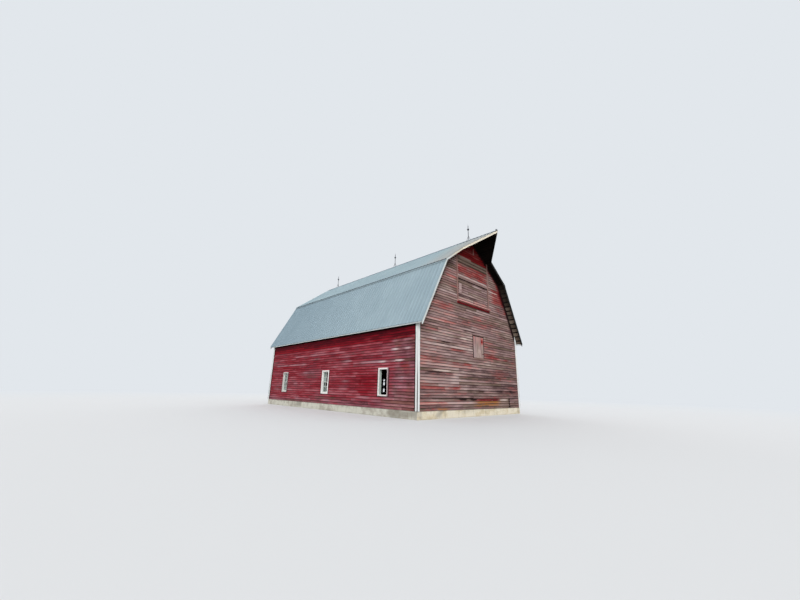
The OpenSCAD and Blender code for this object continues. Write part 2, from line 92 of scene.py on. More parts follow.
def wobble(*p):
    """Smooth noise round zero, the same in every run."""
    return noise.noise(Vector(p))


def by_row(a, z, seed):
    """Noise that runs on along a wall and changes from one board to the next above it."""
    return wobble(a, z * 37, seed)


def clip(x):
    return min(1, max(0, x))


# Materials
def rgb(r, g, b):
    """A colour as seen on a screen, 0 to 255, as the linear colour that Blender takes."""
    def one(c):
        c /= 255
        return c / 12.92 if c <= 0.04045 else ((c + 0.055) / 1.055) ** 2.4
    return (one(r), one(g), one(b), 1)


def add_object(name, data):
    obj = bpy.data.objects.new(name, data)
    bpy.context.scene.collection.objects.link(obj)
    return obj


def add_node(tree, kind, inputs=None, out=0, **props):
    """Adds a shader node, links or sets its inputs, and returns one of its outputs."""
    node = tree.nodes.new("ShaderNode" + kind)
    for key, value in props.items():
        setattr(node, key, value)
    for key, value in (inputs or {}).items():
        if isinstance(value, bpy.types.NodeSocket):
            tree.links.new(value, node.inputs[key])
        else:
            node.inputs[key].default_value = value
    return node.outputs[out]


class Mat:
    """A node material with a few short ways to add nodes."""

    def __init__(self, name, rough=0.5, gloss=0.5, **sockets):
        self.mat = bpy.data.materials.new(name)
        self.mat.use_nodes = True
        self.tree = self.mat.node_tree
        self.bsdf = self.tree.nodes["Principled BSDF"]
        for key, value in {"Roughness": rough, "Specular IOR Level": gloss, **sockets}.items():
            self.bsdf.inputs[key].default_value = value
        self.coords = self.add("TexCoord", out="Object")
        self.color = None

    def add(self, kind, inputs=None, out=0, **props):
        return add_node(self.tree, kind, inputs, out, **props)

    def link(self, socket, name):
        self.tree.links.new(socket, self.bsdf.inputs[name])

    def math(self, op, a, b=0):
        return self.add("Math", {0: a, 1: b}, operation=op)

    def times(self, a, b):
        return self.math("MULTIPLY", a, b)

    def larger(self, a, b):
        return self.math("MAXIMUM", a, b)

    def total(self, *terms):
        """Adds up pairs of a socket and its factor."""
        result = None
        for socket, factor in terms:
            part = self.times(socket, factor)
            result = part if result is None else self.math("ADD", result, part)
        return result

    def noise(self, scale, detail=3, rough=0.55, shift=0, own=None):
        """Noise over the object, with one scale or three. own gives each board its own pattern."""
        vec = scale if isinstance(scale, tuple) else (scale,) * 3
        offset = (shift, shift * 1.7, shift * 0.6)
        moved = self.add("VectorMath", {0: self.coords, 1: vec, 2: offset},
                         operation="MULTIPLY_ADD")
        inputs = {"Vector": moved, "Scale": 1, "Detail": detail, "Roughness": rough}
        if own is None:
            return self.add("TexNoise", inputs)
        inputs["W"] = self.times(own, 40)
        return self.add("TexNoise", inputs, noise_dimensions="4D")

    def grain(self, along, fine, across, **settings):
        """Noise stretched along one axis, 0, 1 or 2."""
        scale = [across, across, across]
        scale[along] = fine
        return self.noise(tuple(scale), **settings)

    def ramp(self, value, low, high, to_low=0, to_high=1):
        """A soft step from to_low, where value is low, to to_high, where it is high."""
        return self.add("MapRange", {
            "Value": value, "From Min": low, "From Max": high, "To Min": to_low,
            "To Max": to_high}, interpolation_type="SMOOTHSTEP")

    def mix(self, share, a, b):
        """Colour a where share is 0, and b where it is 1."""
        return self.add("Mix", {0: share, 6: a, 7: b}, 2, data_type="RGBA", clamp_factor=True)

    def fade(self, a, b, value, low, high, most=1):
        """Colour a, turning to b as a value goes from low to high, by no more than most."""
        return self.mix(self.ramp(value, low, high, 0, most), a, b)

    def cover(self, color, share):
        """Lays a colour over the one so far."""
        self.color = self.mix(share, self.color, color)

    def coat(self, color, value, low, high, most=1):
        """The same, more and more as a value goes from low to high, by no more than most."""
        self.color = self.fade(self.color, color, value, low, high, most)

    def attribute(self, name):
        """The four channels of a colour attribute."""
        color = self.add("Attribute", attribute_name=name)
        split = self.add("SeparateColor", {0: color}).node
        return [*split.outputs, color.node.outputs["Alpha"]]

    def axis(self, index, vector=None):
        """One coordinate: 0 across the barn, 1 along it, 2 up."""
        return self.add("SeparateXYZ", {0: vector or self.coords}, index)

    def band(self, value, low, high, soft=0.004):
        """1 between two values, 0 outside."""
        return self.times(self.ramp(value, low - soft, low + soft),
                         self.ramp(value, high + soft, high - soft))

    def finish(self, height, depth=0.002, rough=None, strength=0.6):
        """Links the colour, the roughness if it varies, and a bump depth metres deep."""
        self.link(self.color, "Base Color")
        if rough is not None:
            self.link(rough, "Roughness")
        bump = {"Strength": strength, "Distance": depth, "Height": height}
        self.link(self.add("Bump", bump), "Normal")
        return self.mat


def side_edges(m):
    """Painted shade beside the near corner boards and round the window casings of the side walls,
    and a dark strip beside the far corner boards.
    """
    y = m.axis(1)
    step = WINDOW_YS[1] - WINDOW_YS[0]
    phase = m.math("FRACT", m.math("DIVIDE", m.math("ADD", y, step / 2 - WINDOW_YS[0]), step))
    off = m.times(m.math("ABSOLUTE", m.math("SUBTRACT", phase, 0.5)), step)
    # Painted shade round the window casings and beside the near corner boards
    window = m.times(m.ramp(off, WINDOW_W / 2 + 0.17, WINDOW_W / 2 + 0.13, 0, 0.85),
                     m.band(m.axis(2), WINDOW_Z[0] - 0.125, WINDOW_Z[1] + 0.06, 0.015))
    near_corner_shade = m.ramp(y, 0.25 - HALF_L, 0.22 - HALF_L, 0, 0.95)
    far_corner = m.ramp(y, HALF_L - 0.4, HALF_L - 0.22, 0, 0.9)
    return m.larger(window, m.larger(near_corner_shade, far_corner))


def end_edges(m):
    """Painted shade beside the corner boards of the gables, and in the gap right of the hatch."""
    # Both bands are painted shade
    corner = m.ramp(m.math("ABSOLUTE", m.axis(0)), HALF_W - 0.22, HALF_W - 0.18, 0, 0.9)
    z = m.axis(2)
    high = m.math("MINIMUM", m.ramp(z, EAVE_Z + 0.1, EAVE_Z - 0.1), m.ramp(z, 4, 4.8, 0.35, 1))
    gap = m.times(m.band(m.axis(0), HATCH_X[1] - 0.01, HATCH_X[1] + 0.06, 0.01),
                  m.band(z, *HATCH_Z, 0.03))
    gap = m.times(gap, m.ramp(m.axis(1), -8, -9, 0, 0.8))
    return m.larger(m.times(corner, high), gap)


def painted_boards(name, along, fresh, reds, woods, thin, crust, edges=None):
    """Barn paint that has worn off in streaks, with painted shade in the coves, at the foot of each
    board and beside trim. Each board carries two colour attributes: wear holds paint left,
    lightness, which is lowered in places as painted shade, pale crust and the board's own number;
    place holds height in the board, dirt and painted shade, rust and a second number of its own."""
    m = Mat(name, gloss=0.1)
    paint, light, pale, own = m.attribute("wear")
    height, dirt, rust, other = m.attribute("place")
    long_streak = m.grain(along, 1.1, 9, detail=4, rough=0.6, own=own)
    streak = m.grain(along, 3, 40, detail=4, rough=0.65, shift=3.1, own=own)
    flake = m.noise(30, shift=5.3)
    grain = m.grain(along, 7, 240, shift=9.7)

    level = m.total((long_streak, 1), (streak, 0.6), (flake, 0.25), (paint, 0.8))
    kept = m.ramp(level, 1.25, 1.41)
    thinned = m.ramp(level, 1.1, 1.3)
    tone = m.total((light, 1), (long_streak, 1.5), (streak, 0.8), (grain, 0.4), (other, 0.3))
    dark_light = m.ramp(tone, 1.45, 2.05)
    light_pale = m.ramp(tone, 1.95, 2.6)
    wood, red = (m.mix(light_pale, m.mix(dark_light, c[0], c[1]), c[2]) for c in (woods, reds))
    wood = m.fade(wood, woods[3], m.math("FRACT", m.times(own, 7.3)), 0.35, 0.95, 0.5)
    red = m.fade(red, m.mix(dark_light, *fresh), paint, 0.8, 1, 0.9)
    m.color = m.mix(m.times(thinned, 0.8), wood, m.mix(light_pale, *thin))
    m.cover(red, kept)

    # Pale crust in thin lines, and the paler lower half of a board: partly worn paint, partly
    # a painted highlight where the face catches the light
    middle = m.ramp(m.math("FRACT", m.times(own, 13.7)), 0, 1, 0.24, 0.58)
    off = m.math("ABSOLUTE", m.math("SUBTRACT", height, middle))
    crusted = m.total((long_streak, 0.6), (streak, 0.6), (flake, 0.4), (pale, 0.9), (off, -1.5))
    crusted = m.ramp(crusted, 1.14, 1.34)
    crust = m.fade(*crust, pale, 0.6, 1.1)
    m.cover(crust, m.times(crusted, 0.85))
    worn_and_lit_edge = m.ramp(m.total((light, 0.7), (long_streak, 1.6), (other, 0.5)), 1.1, 1.75, 0, 0.42)
    worn_and_lit_edge = m.times(m.band(height, 0.08, 0.42, 0.06), worn_and_lit_edge)
    m.cover(crust, m.times(worn_and_lit_edge, m.ramp(pale, 0, 0.4)))
    rusty = m.times(rust, m.ramp(m.total((streak, 0.5), (long_streak, 0.7)), 0.5, 0.68))
    m.cover(rgb(170, 112, 56), rusty)

    # Painted shade in the cove under the board above, at the foot of each board and beside trim,
    # together with the dirt and painted shade of the dirt channel, all laid on as one near black
    cove = m.times(m.ramp(height, 0.72, 0.84), 0.78)
    lap_shade = m.times(m.ramp(height, 0.05, 0), 0.7)
    dirt_and_shade = m.ramp(m.total((dirt, 1), (streak, 0.5), (height, 0.5)), 0.78, 1.18, 0, 0.95)
    shade = m.larger(m.larger(cove, lap_shade), m.times(dirt_and_shade, m.ramp(dirt, 0, 0.1)))
    if edges:
        shade = m.larger(shade, edges(m))
    m.cover(rgb(26, 10, 12), shade)
    relief = m.total((kept, 0.35), (grain, 0.8), (crusted, 0.2))
    return m.finish(relief, 0.0025, m.ramp(kept, 0, 1, 0.95, 0.75))


def worn_white(m, base, dirt, share=0.35, along=2):
    """Lays on white paint with grain, stains and worn spots, and returns its relief."""
    grain = m.grain(along, 5, 150)
    stain = m.grain(along, 0.8, 9, detail=5, rough=0.6, shift=2.2)
    flake = m.grain(along, 9, 60, detail=4, shift=6.1)
    m.color = m.fade(base, dirt, stain, 0.45, 0.75, share)
    bare = m.ramp(m.total((flake, 1), (stain, 0.5)), 0.92, 1)
    m.cover(rgb(128, 112, 98), m.times(bare, 0.8))
    m.coat(rgb(120, 118, 110), grain, 0.3, 0.7, 0.14)
    return m.total((grain, 1), (bare, -0.8))


def plain_white(name, base, dirt, share, along=2):
    """White paint that is the same all over a node."""
    m = Mat(name, 0.7, 0.2)
    return m.finish(worn_white(m, base, dirt, share, along))


def corner_paint():
    """The corner boards, with a dark line in the gap between their edges and along their sides:
    painted shadow of the gap, partly dirt.
    """
    m = Mat("corner_paint", 0.7, 0.2)
    relief = worn_white(m, rgb(246, 248, 248), rgb(176, 180, 178), 0.3)
    y = m.math("ABSOLUTE", m.axis(1))
    gap_dirt_and_shade = m.band(y, HALF_L - 0.018, HALF_L + 0.04, 0.008)
    gap_dirt_and_shade = m.times(gap_dirt_and_shade, m.ramp(m.math("ABSOLUTE", m.axis(0)), HALF_W, HALF_W + 0.01))
    low = m.ramp(m.axis(2), 4.2, 1.2)
    gap_dirt_and_shade = m.times(gap_dirt_and_shade, m.ramp(low, 0, 1, 0.2, 1))
    # Near black in the gap: painted shadow, partly dirt
    m.cover(rgb(26, 26, 26), gap_dirt_and_shade)
    return m.finish(relief)


def barge_paint():
    """White on the left slopes and near black on the right ones. The grain follows the slopes."""
    m = Mat("barge_paint", 0.75, 0.15)
    x, y, z = (m.axis(i) for i in range(3))
    mirrored = m.add("CombineXYZ", {0: m.math("ABSOLUTE", x), 1: y, 2: z})
    below, over = (m.add("VectorRotate", {"Vector": mirrored, "Angle": -pitch},
                         rotation_type="Y_AXIS") for pitch in (LOWER, UPPER))
    past_break = m.ramp(z, BREAK_Z - 0.03, BREAK_Z + 0.03)
    m.coords = m.add("Mix", {0: past_break, 4: below, 5: over}, out=1, data_type="VECTOR")
    relief = worn_white(m, rgb(224, 230, 230), rgb(164, 162, 156), 0.45, along=0)
    m.coat(rgb(228, 214, 190), z, 9.9, 10.6, 0.75)
    right = m.times(m.ramp(x, -0.01, 0.01), m.ramp(y, 0, -1))
    near_black = m.mix(m.grain(0, 2, 40, detail=4, shift=1.1), rgb(18, 22, 24), rgb(52, 52, 50))
    m.cover(near_black, right)
    return m.finish(relief)


def window_paint():
    """White casings, duller on the front side, round jambs that have gone grey-green."""
    m = Mat("window_paint", 0.7, 0.2)
    relief = worn_white(m, rgb(255, 250, 249), rgb(196, 186, 184), 0.25)
    depth = m.ramp(m.math("ABSOLUTE", m.axis(0)), HALF_W + 0.002, HALF_W - 0.02)
    y = m.axis(1)
    jamb = m.fade(rgb(168, 184, 174), rgb(212, 216, 214), y, -4, -3)
    m.cover(jamb, m.times(depth, 0.85))
    m.coat(rgb(176, 166, 162), y, 4, 5.5, 0.6)
    # The casing boards on the near side of the first and the last window
    bare = m.larger(m.band(y, -7.3, -7.12, 0.01), m.band(y, 5.9, 6.03, 0.01))
    m.cover(rgb(142, 108, 114), m.times(bare, 0.9))
    foot = m.ramp(m.axis(2), WINDOW_Z[0] - 0.02, WINDOW_Z[0] - 0.04, 0, 0.7)
    m.cover(rgb(120, 92, 94), m.times(foot, m.ramp(y, -3, -4)))
    return m.finish(relief)


def thin_paint(name, along, run):
    """The start of a material for worn paint on one board: its streaks, grain and relief."""
    m = Mat(name, 0.85, 0.12)
    streak = m.grain(along, run, 30, detail=5, rough=0.6)
    grain = m.grain(along, 6, 220, shift=3)
    return m, streak, grain, m.total((streak, 0.6), (grain, 0.6))


def door_casing_paint():
    """Dull red that has lost its colour, deeper near the top."""
    m, streak, grain, relief = thin_paint("door_casing_paint", 2, 1.6)
    m.color = m.fade(rgb(128, 90, 86), rgb(166, 136, 128), streak, 0.35, 0.65)
    m.coat(rgb(126, 82, 76), m.axis(2), 10.3, 10.8, 0.5)
    m.coat(rgb(104, 66, 62), grain, 0.35, 0.7, 0.3)
    return m.finish(relief)


def ledge_paint():
    """A pale shelf over a dark red board. The shelf's pale top is worn paint and a painted
    highlight; the board darkens towards its foot as painted shade on its underside.
    """
    m, streak, grain, relief = thin_paint("ledge_paint", 0, 1.2)
    board = m.fade(rgb(112, 14, 24), rgb(158, 40, 46), streak, 0.35, 0.7)
    # Painted shade at the foot of the board
    board = m.fade(board, rgb(56, 4, 10), m.axis(2), 7.33, 7.29, 0.8)
    # Worn paint and a painted highlight on the shelf
    shelf = m.fade(rgb(214, 134, 130), rgb(238, 184, 178), streak, 0.35, 0.6)
    m.color = m.fade(board, shelf, m.axis(2), 7.41, 7.43)
    m.coat(rgb(70, 34, 34), grain, 0.4, 0.7, 0.3)
    return m.finish(relief)


def plain_wood(name, along, light, dark, dirt=0.3):
    """Unpainted, rough-sawn timber."""
    m = Mat(name, 0.9, 0.15)
    grain = m.grain(along, 2.5, 120, detail=5, rough=0.65)
    tone = m.grain(along, 0.35, 4, detail=2, shift=4.4)
    saw = m.grain(along, 90, 6, detail=2, shift=8.8)
    m.color = m.fade(dark, light, grain, 0.32, 0.68)
    m.coat(dark, tone, 0.35, 0.7, dirt)
    return m.finish(m.total((grain, 1), (saw, 0.5)), 0.003)


def roof_board_wood():
    """Rough roof boards: wear holds each board's tone, and how dark it is painted as shade."""
    m = Mat("roof_board_wood", 0.95, 0.05)
    tone, underside_shade, _, own = m.attribute("wear")
    grain = m.grain(1, 2.5, 120, detail=5, rough=0.65, own=own)
    tone = m.total((grain, 0.8), (tone, 0.25))
    m.color = m.fade(rgb(104, 92, 82), rgb(190, 172, 156), tone, 0.3, 0.8)
    # Near black: painted shade on the boards' undersides
    m.cover(rgb(9, 6, 6), underside_shade)
    return m.finish(grain, 0.003)


def galvanised(name, base, light, dull, cream=None, shade_from=None):
    """Weathered sheet metal: its tone changes from sheet to sheet and dulls towards the rear,
    stains run down the slope, painted shade lies beside each rib, and the underside is dark:
    painted shade, partly dust."""
    m = Mat(name, Metallic=0.1, gloss=0.3)
    y = m.axis(1)
    sheet = m.math("FLOOR", m.math("DIVIDE", m.math("ADD", y, 40), SHEET_RIBS * RIB_PITCH))
    tone = m.add("TexWhiteNoise", {"W": sheet}, noise_dimensions="1D")
    run = m.noise((0.5, 7, 0.5), detail=5, rough=0.6)
    blotch = m.noise(0.55, detail=5, rough=0.6, shift=3.3)
    spangle = m.noise(60, detail=2, shift=1.4)
    m.color = m.mix(m.ramp(blotch, 0.35, 0.7, 0.2, 0.8), base, light)
    m.cover(light, m.times(tone, 0.2))
    if cream:
        m.coat(cream, y, -7, -10, 0.9)
    m.coat(rgb(112, 130, 138), run, 0.5, 0.8, 0.35)
    m.coat(rgb(94, 116, 130), y, -8, 10, dull)
    m.coat(rgb(210, 222, 230), spangle, 0.4, 0.7, 0.08)
    # A darker band beside each rib: painted shade
    across = m.math("FRACT", m.math("DIVIDE", m.math("ADD", y, 200 * RIB_PITCH), RIB_PITCH))
    m.cover(rgb(60, 80, 92), m.times(m.band(across, 0.08, 0.3, 0.05), 0.2))
    # Dark above a given height: painted shadow under the edge of the upper sheets
    if shade_from:
        m.coat(rgb(24, 26, 44), m.axis(2), shade_from, shade_from + 0.01)
    # The dark underside: painted shade, partly dust
    normal = m.add("NewGeometry", out=3)
    under = m.ramp(m.axis(2, normal), 0, -0.2)
    m.cover(rgb(34, 30, 28), under)
    rough = m.ramp(m.total((run, 1), (blotch, 1)), 0.7, 1.3, 0.5, 0.7)
    return m.finish(m.noise(2.2, detail=2, shift=7.7), 0.004, rough, 0.25)


def masonry():
    """Whitewash over rough concrete, worn through in places; creamier on the front."""
    m = Mat("limewash", 0.95, 0.1)
    worn = m.attribute("wear")[0]
    blotch = m.noise((1.6, 1.6, 2.6), detail=6, rough=0.6)
    pit = m.noise(26, detail=4, shift=3)
    run = m.noise((6, 6, 0.9), shift=5)
    front = m.ramp(m.axis(1), 0.06 - HALF_L, 0.04 - HALF_L)
    base = m.mix(front, rgb(214, 212, 200), rgb(234, 225, 206))
    soiled = m.mix(front, rgb(184, 178, 166), rgb(216, 202, 172))
    m.color = m.fade(base, soiled, blotch, 0.42, 0.66)
    m.coat(rgb(140, 128, 108), run, 0.52, 0.74, 0.35)
    m.cover(rgb(128, 120, 108), m.times(worn, 0.7))
    m.coat(rgb(98, 90, 78), pit, 0.62, 0.72, 0.5)
    return m.finish(m.total((blotch, 1), (pit, 0.7)), 0.012)


def iron(name, dark, light):
    """Painted or rusty iron, from dark to light in small spots."""
    m = Mat(name, Metallic=0.3)
    rust = m.noise(22, detail=5, rough=0.65)
    m.color = m.fade(dark, light, rust, 0.4, 0.65)
    return m.finish(rust, 0.002, m.ramp(rust, 0.3, 0.7, 0.45, 0.8))


def floor_concrete():
    m = Mat("floor_concrete", 0.9)
    blotch = m.noise(1.3, detail=6, rough=0.6)
    m.color = m.fade(rgb(96, 92, 86), rgb(130, 126, 118), blotch, 0.35, 0.7)
    return m.finish(m.noise(18, detail=4), 0.004)


def dusty_glass():
    """Old glass; wear holds how much dust a pane carries."""
    m = Mat("dusty_glass", IOR=1.5)
    coat = m.attribute("wear")[0]
    dust = m.noise((3, 5, 5), detail=5, rough=0.65)
    streak = m.noise((6, 14, 2), shift=3)
    film = m.ramp(m.total((dust, 0.7), (streak, 0.4), (coat, 0.9)), 0.5, 1.4, 0.12, 0.95)
    m.color = m.mix(dust, rgb(84, 108, 100), rgb(198, 214, 206))
    m.link(film, "Alpha")
    return m.finish(dust, 0.001, m.ramp(dust, 0.3, 0.8, 0.08, 0.4), 0.2)


# Fresh paint, worn paint, bare wood and thin paint, each from dark to pale
SIDE_COLORS = (
    (rgb(84, 4, 20), rgb(140, 12, 30)),
    (rgb(98, 16, 28), rgb(152, 46, 58), rgb(182, 100, 110)),
    (rgb(84, 40, 46), rgb(144, 86, 96), rgb(188, 146, 156), rgb(118, 86, 76)),
    (rgb(146, 62, 76), rgb(190, 134, 144)))
END_COLORS = (
    (rgb(84, 2, 10), rgb(140, 6, 16)),
    (rgb(100, 26, 30), rgb(158, 72, 70), rgb(190, 120, 114)),
    (rgb(88, 68, 68), rgb(146, 118, 117), rgb(188, 166, 164), rgb(114, 100, 80)),
    (rgb(142, 98, 96), rgb(190, 150, 146)))
side_crust = (rgb(186, 134, 144), rgb(224, 206, 208))
end_crust = (rgb(208, 182, 175), rgb(222, 204, 196))
upright_crust = (rgb(210, 184, 174), rgb(222, 204, 194))
side_paint = painted_boards("side_paint", 1, *SIDE_COLORS, side_crust, side_edges)
end_paint = painted_boards("end_paint", 0, *END_COLORS, end_crust, end_edges)
upright_paint = painted_boards("upright_paint", 2, *END_COLORS, upright_crust)
roof_low = galvanised("roof_low", rgb(138, 158, 168), rgb(154, 173, 182), 0.5)
roof_high = galvanised("roof_high", rgb(134, 153, 162), rgb(148, 167, 173), 0, rgb(154, 156, 154))
# Darker blue than the sheets: painted shade along the ridge cap
ridge_metal = galvanised("ridge_metal", rgb(84, 104, 126), rgb(108, 126, 144), 0)
# Dark along its top: painted shadow under the upper sheets
flashing_metal = galvanised("flashing_metal", rgb(136, 154, 162), rgb(150, 168, 176), 0.4,
                            shade_from=9.745)
old_timber = plain_wood("old_timber", 1, rgb(126, 104, 82), rgb(72, 56, 44))
post_timber = plain_wood("post_timber", 2, rgb(122, 100, 80), rgb(70, 56, 44))
joist_timber = plain_wood("joist_timber", 0, rgb(122, 100, 80), rgb(70, 56, 44))
wall_lining = plain_wood("wall_lining", 2, rgb(74, 56, 48), rgb(36, 26, 22))


# Meshes
PLAIN_WEAR, PLAIN_PLACE = (0.5, 0.5, 0, 0.5), (0.6, 0, 0, 0.5)


def turn(sides):
    """The angles of a regular outline."""
    return [2 * pi * k / sides for k in range(sides)]


class Build:
    """Collects vertices, faces and the two colour attributes of one piece."""

    def __init__(self):
        self.verts, self.faces, self.wear, self.place = [], [], [], []

    def add(self, verts, faces, wear=PLAIN_WEAR, place=PLAIN_PLACE):
        base = len(self.verts)
        self.verts += [tuple(v) for v in verts]
        self.faces += [tuple(base + i for i in f) for f in faces]
        n = len(verts)
        self.wear += wear if isinstance(wear, list) else [wear] * n
        self.place += place if isinstance(place, list) else [place] * n

    def box(self, low, high, **attributes):
        (x0, y0, z0), (x1, y1, z1) = low, high
        v = [(x, y, z) for x in (x0, x1) for y in (y0, y1) for z in (z0, z1)]
        f = [(0, 1, 3, 2), (4, 6, 7, 5), (0, 4, 5, 1), (2, 3, 7, 6), (0, 2, 6, 4), (1, 5, 7, 3)]
        self.add(v, f, **attributes)

    def loft(self, sections, wear=PLAIN_WEAR, place=PLAIN_PLACE):
        """A closed solid through outlines that have the same number of points."""
        n, last = len(sections[0]), len(sections) - 1
        faces = [(i * n + k, i * n + (k + 1) % n, (i + 1) * n + (k + 1) % n, (i + 1) * n + k)
                 for i in range(last) for k in range(n)]
        faces += [tuple(range(n)), tuple(last * n + k for k in reversed(range(n)))]
        self.add([p for section in sections for p in section], faces, wear, place)

    def piece(self, name, mat, slot, replaces=(), bevel=0):
        """Makes the mesh, and hides the CAD nodes it stands for."""
        mesh = bpy.data.meshes.new(name)
        mesh.from_pydata(self.verts, [], self.faces)
        for key, data in (("wear", self.wear), ("place", self.place)):
            layer = mesh.color_attributes.new(key, "FLOAT_COLOR", "POINT")
            layer.data.foreach_set("color", [c for row in data for c in row])
        bm = bmesh.new()
        bm.from_mesh(mesh)
        bmesh.ops.recalc_face_normals(bm, faces=bm.faces)
        bm.to_mesh(mesh)
        bm.free()
        mesh.materials.append(mat)
        obj = add_object(name, mesh)
        if bevel:
            edges = obj.modifiers.new("edges", "BEVEL")
            edges.width, edges.segments, edges.limit_method = bevel, 2, "ANGLE"
        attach(obj, "root")
        for node in replaces:
            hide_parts(node)


def add_board(build, at, a0, a1, z0, z1, field, limit=None, cove=True, lift=0):
    """One siding board from a0 to a1 along the wall and z0 to z1 up it. at turns (along, out, up)
    into a point, and field gives the weathering and painted shade. limit gives the half length
    allowed at a height, cove says whether the board has one, and lift is how far its lower edge
    has come up."""
    top = z1 - z0
    shape = [(0, LAP_GAP), (SIDING_T - 0.004, LAP_GAP), (SIDING_T, LAP_GAP + 0.006)]
    if cove:
        shape += [(SIDING_T, top - COVE_H), (SIDING_T - 0.45 * COVE_D, top - 0.75 * COVE_H),
                  (SIDING_T - COVE_D, top - 0.4 * COVE_H), (SIDING_T - COVE_D, top), (0, top)]
    else:
        shape += [(SIDING_T, top), (0, top)]
    count = max(2, ceil((a1 - a0) / 0.25) + 1)
    own, other = rng.random(), rng.random()
    tone = rng.uniform(-1, 1)
    cup = rng.uniform(0, 0.004)
    curls = [rng.uniform(0, 0.006) if rng.random() < 0.4 else 0 for _ in range(2)]
    sections, wear, place = [], [], []
    for i in range(count):
        share = i / (count - 1)
        a = a0 + (a1 - a0) * share
        bow = cup * (0.5 + wobble(a * 0.7, own * 90, 0))
        bow += curls[0] * (1 - smooth(share, 0, 0.25)) + curls[1] * smooth(share, 0.75, 1)
        sag = 0.0025 * wobble(a * 0.5, own * 90, 9)
        paint, light, pale, dirt, rust = field(a, z0 + min(top, ROW) / 2, tone)
        section = []
        for d, h in shape:
            z = z0 + h + sag + (lift if h < 0.02 else 0)
            reach = a
            if limit:
                most = limit(z0 + h)
                reach = max(-most, min(most, a))
            section.append(at(reach, d + bow * (1 - h / top) * (d > 0), z))
            wear.append((paint, light, pale, own))
            place.append((min(1, h / ROW if cove else 0.1 + 0.5 * h / top), dirt, rust, other))
        sections.append(section)
    build.loft(sections, wear, place)


def split_run(a0, a1, row, fixed=()):
    """Cuts one row into boards of usual lengths, with its butt joints on the studs."""
    cuts = [a0]
    a = a0 + 1.2 * ((row * 7) % 4) + rng.choice((0.6, 1.2, 1.8))
    while a < a1 - 0.6:
        if a - cuts[-1] > 0.5:
            cuts.append(a)
        a += rng.choice((3, 3.6, 4.2, 4.8))
    for f in fixed:
        if a0 + 0.3 < f < a1 - 0.3:
            cuts = [c for c in cuts if abs(c - f) > 0.7 or c == a0] + [f]
    cuts.append(a1)
    return sorted(cuts)


def cut_spans(spans, hole):
    """Takes one opening out of the spans of a row."""
    h0, h1, low, high = hole
    left = []
    for a0, a1, z0, z1 in spans:
        if h1 <= a0 or h0 >= a1 or high <= z0 or low >= z1:
            left.append((a0, a1, z0, z1))
            continue
        if a0 < h0:
            left.append((a0, h0, z0, z1))
        if a1 > h1:
            left.append((h1, a1, z0, z1))
        if z0 < low - 0.01:
            left.append((max(a0, h0), min(a1, h1), z0, low))
        if z1 > high + 0.01:
            left.append((max(a0, h0), min(a1, h1), high, z1))
    return left


def clad(name, at, half, top, holes, field, mat, slot, node, limit=None, seams=(), gaps=()):
    """Covers one wall with siding rows, cut round its openings. seams are butt joints at one place
    in several rows: where along the wall, and from and to up it. gaps are boards whose lower edge
    has lifted: from and to along the wall, the row, and how far."""
    build = Build()
    for row in range(ceil((top - SIDING_LOW) / ROW)):
        z = SIDING_LOW + row * ROW
        width = min(half, limit(z)) if limit else half
        spans = [(-width, width, z, min(z + ROW, top))]
        for hole in holes:
            spans = cut_spans(spans, hole)
        fixed = [a for a, low, high in seams if low <= z + ROW / 2 <= high]
        for a0, a1, z0, z1 in spans:
            if a1 - a0 < 0.03 or z1 - z0 < 0.02:
                continue
            cuts = split_run(a0, a1, row, fixed)
            for b0, b1 in zip(cuts, cuts[1:]):
                lift = sum(g[3] for g in gaps if g[0] < (b0 + b1) / 2 < g[1] and g[2] == row)
                add_board(build, at, b0 + END_GAP, b1 - END_GAP, z0, z1, field, limit,
                          cove=z1 - z0 > ROW * 0.9, lift=lift)
    build.piece(name, mat, slot, [node])


# How the walls have aged, with painted shade in places. Each mark is a stretch of wall: from and
# to along it, from and to up it, then what it adds, in hundredths, to paint, lightness, pale crust
# and dirt, which at some marks is painted shade. What is left out at its end adds nothing
def marks_at(marks, a, z):
    total = [0] * 4
    broken = clip(0.95 + 0.9 * by_row(a * 1.4, z, 60))
    for a0, a1, z0, z1, *amounts in marks:
        if a0 - 0.4 < a < a1 + 0.4 and z0 - 0.07 < z < z1 + 0.07:
            share = smooth(a - a0, -0.4, 0.3) * smooth(a1 - a, -0.4, 0.3) * broken
            share *= smooth(z - z0, -0.07, 0.03) * smooth(z1 - z, -0.07, 0.03)
            for i, amount in enumerate(amounts):
                total[i] += amount / 100 * share
    paint, light, pale, dirt = total
    return 0.6 * paint, 0.7 * light, 0.9 * pale, dirt


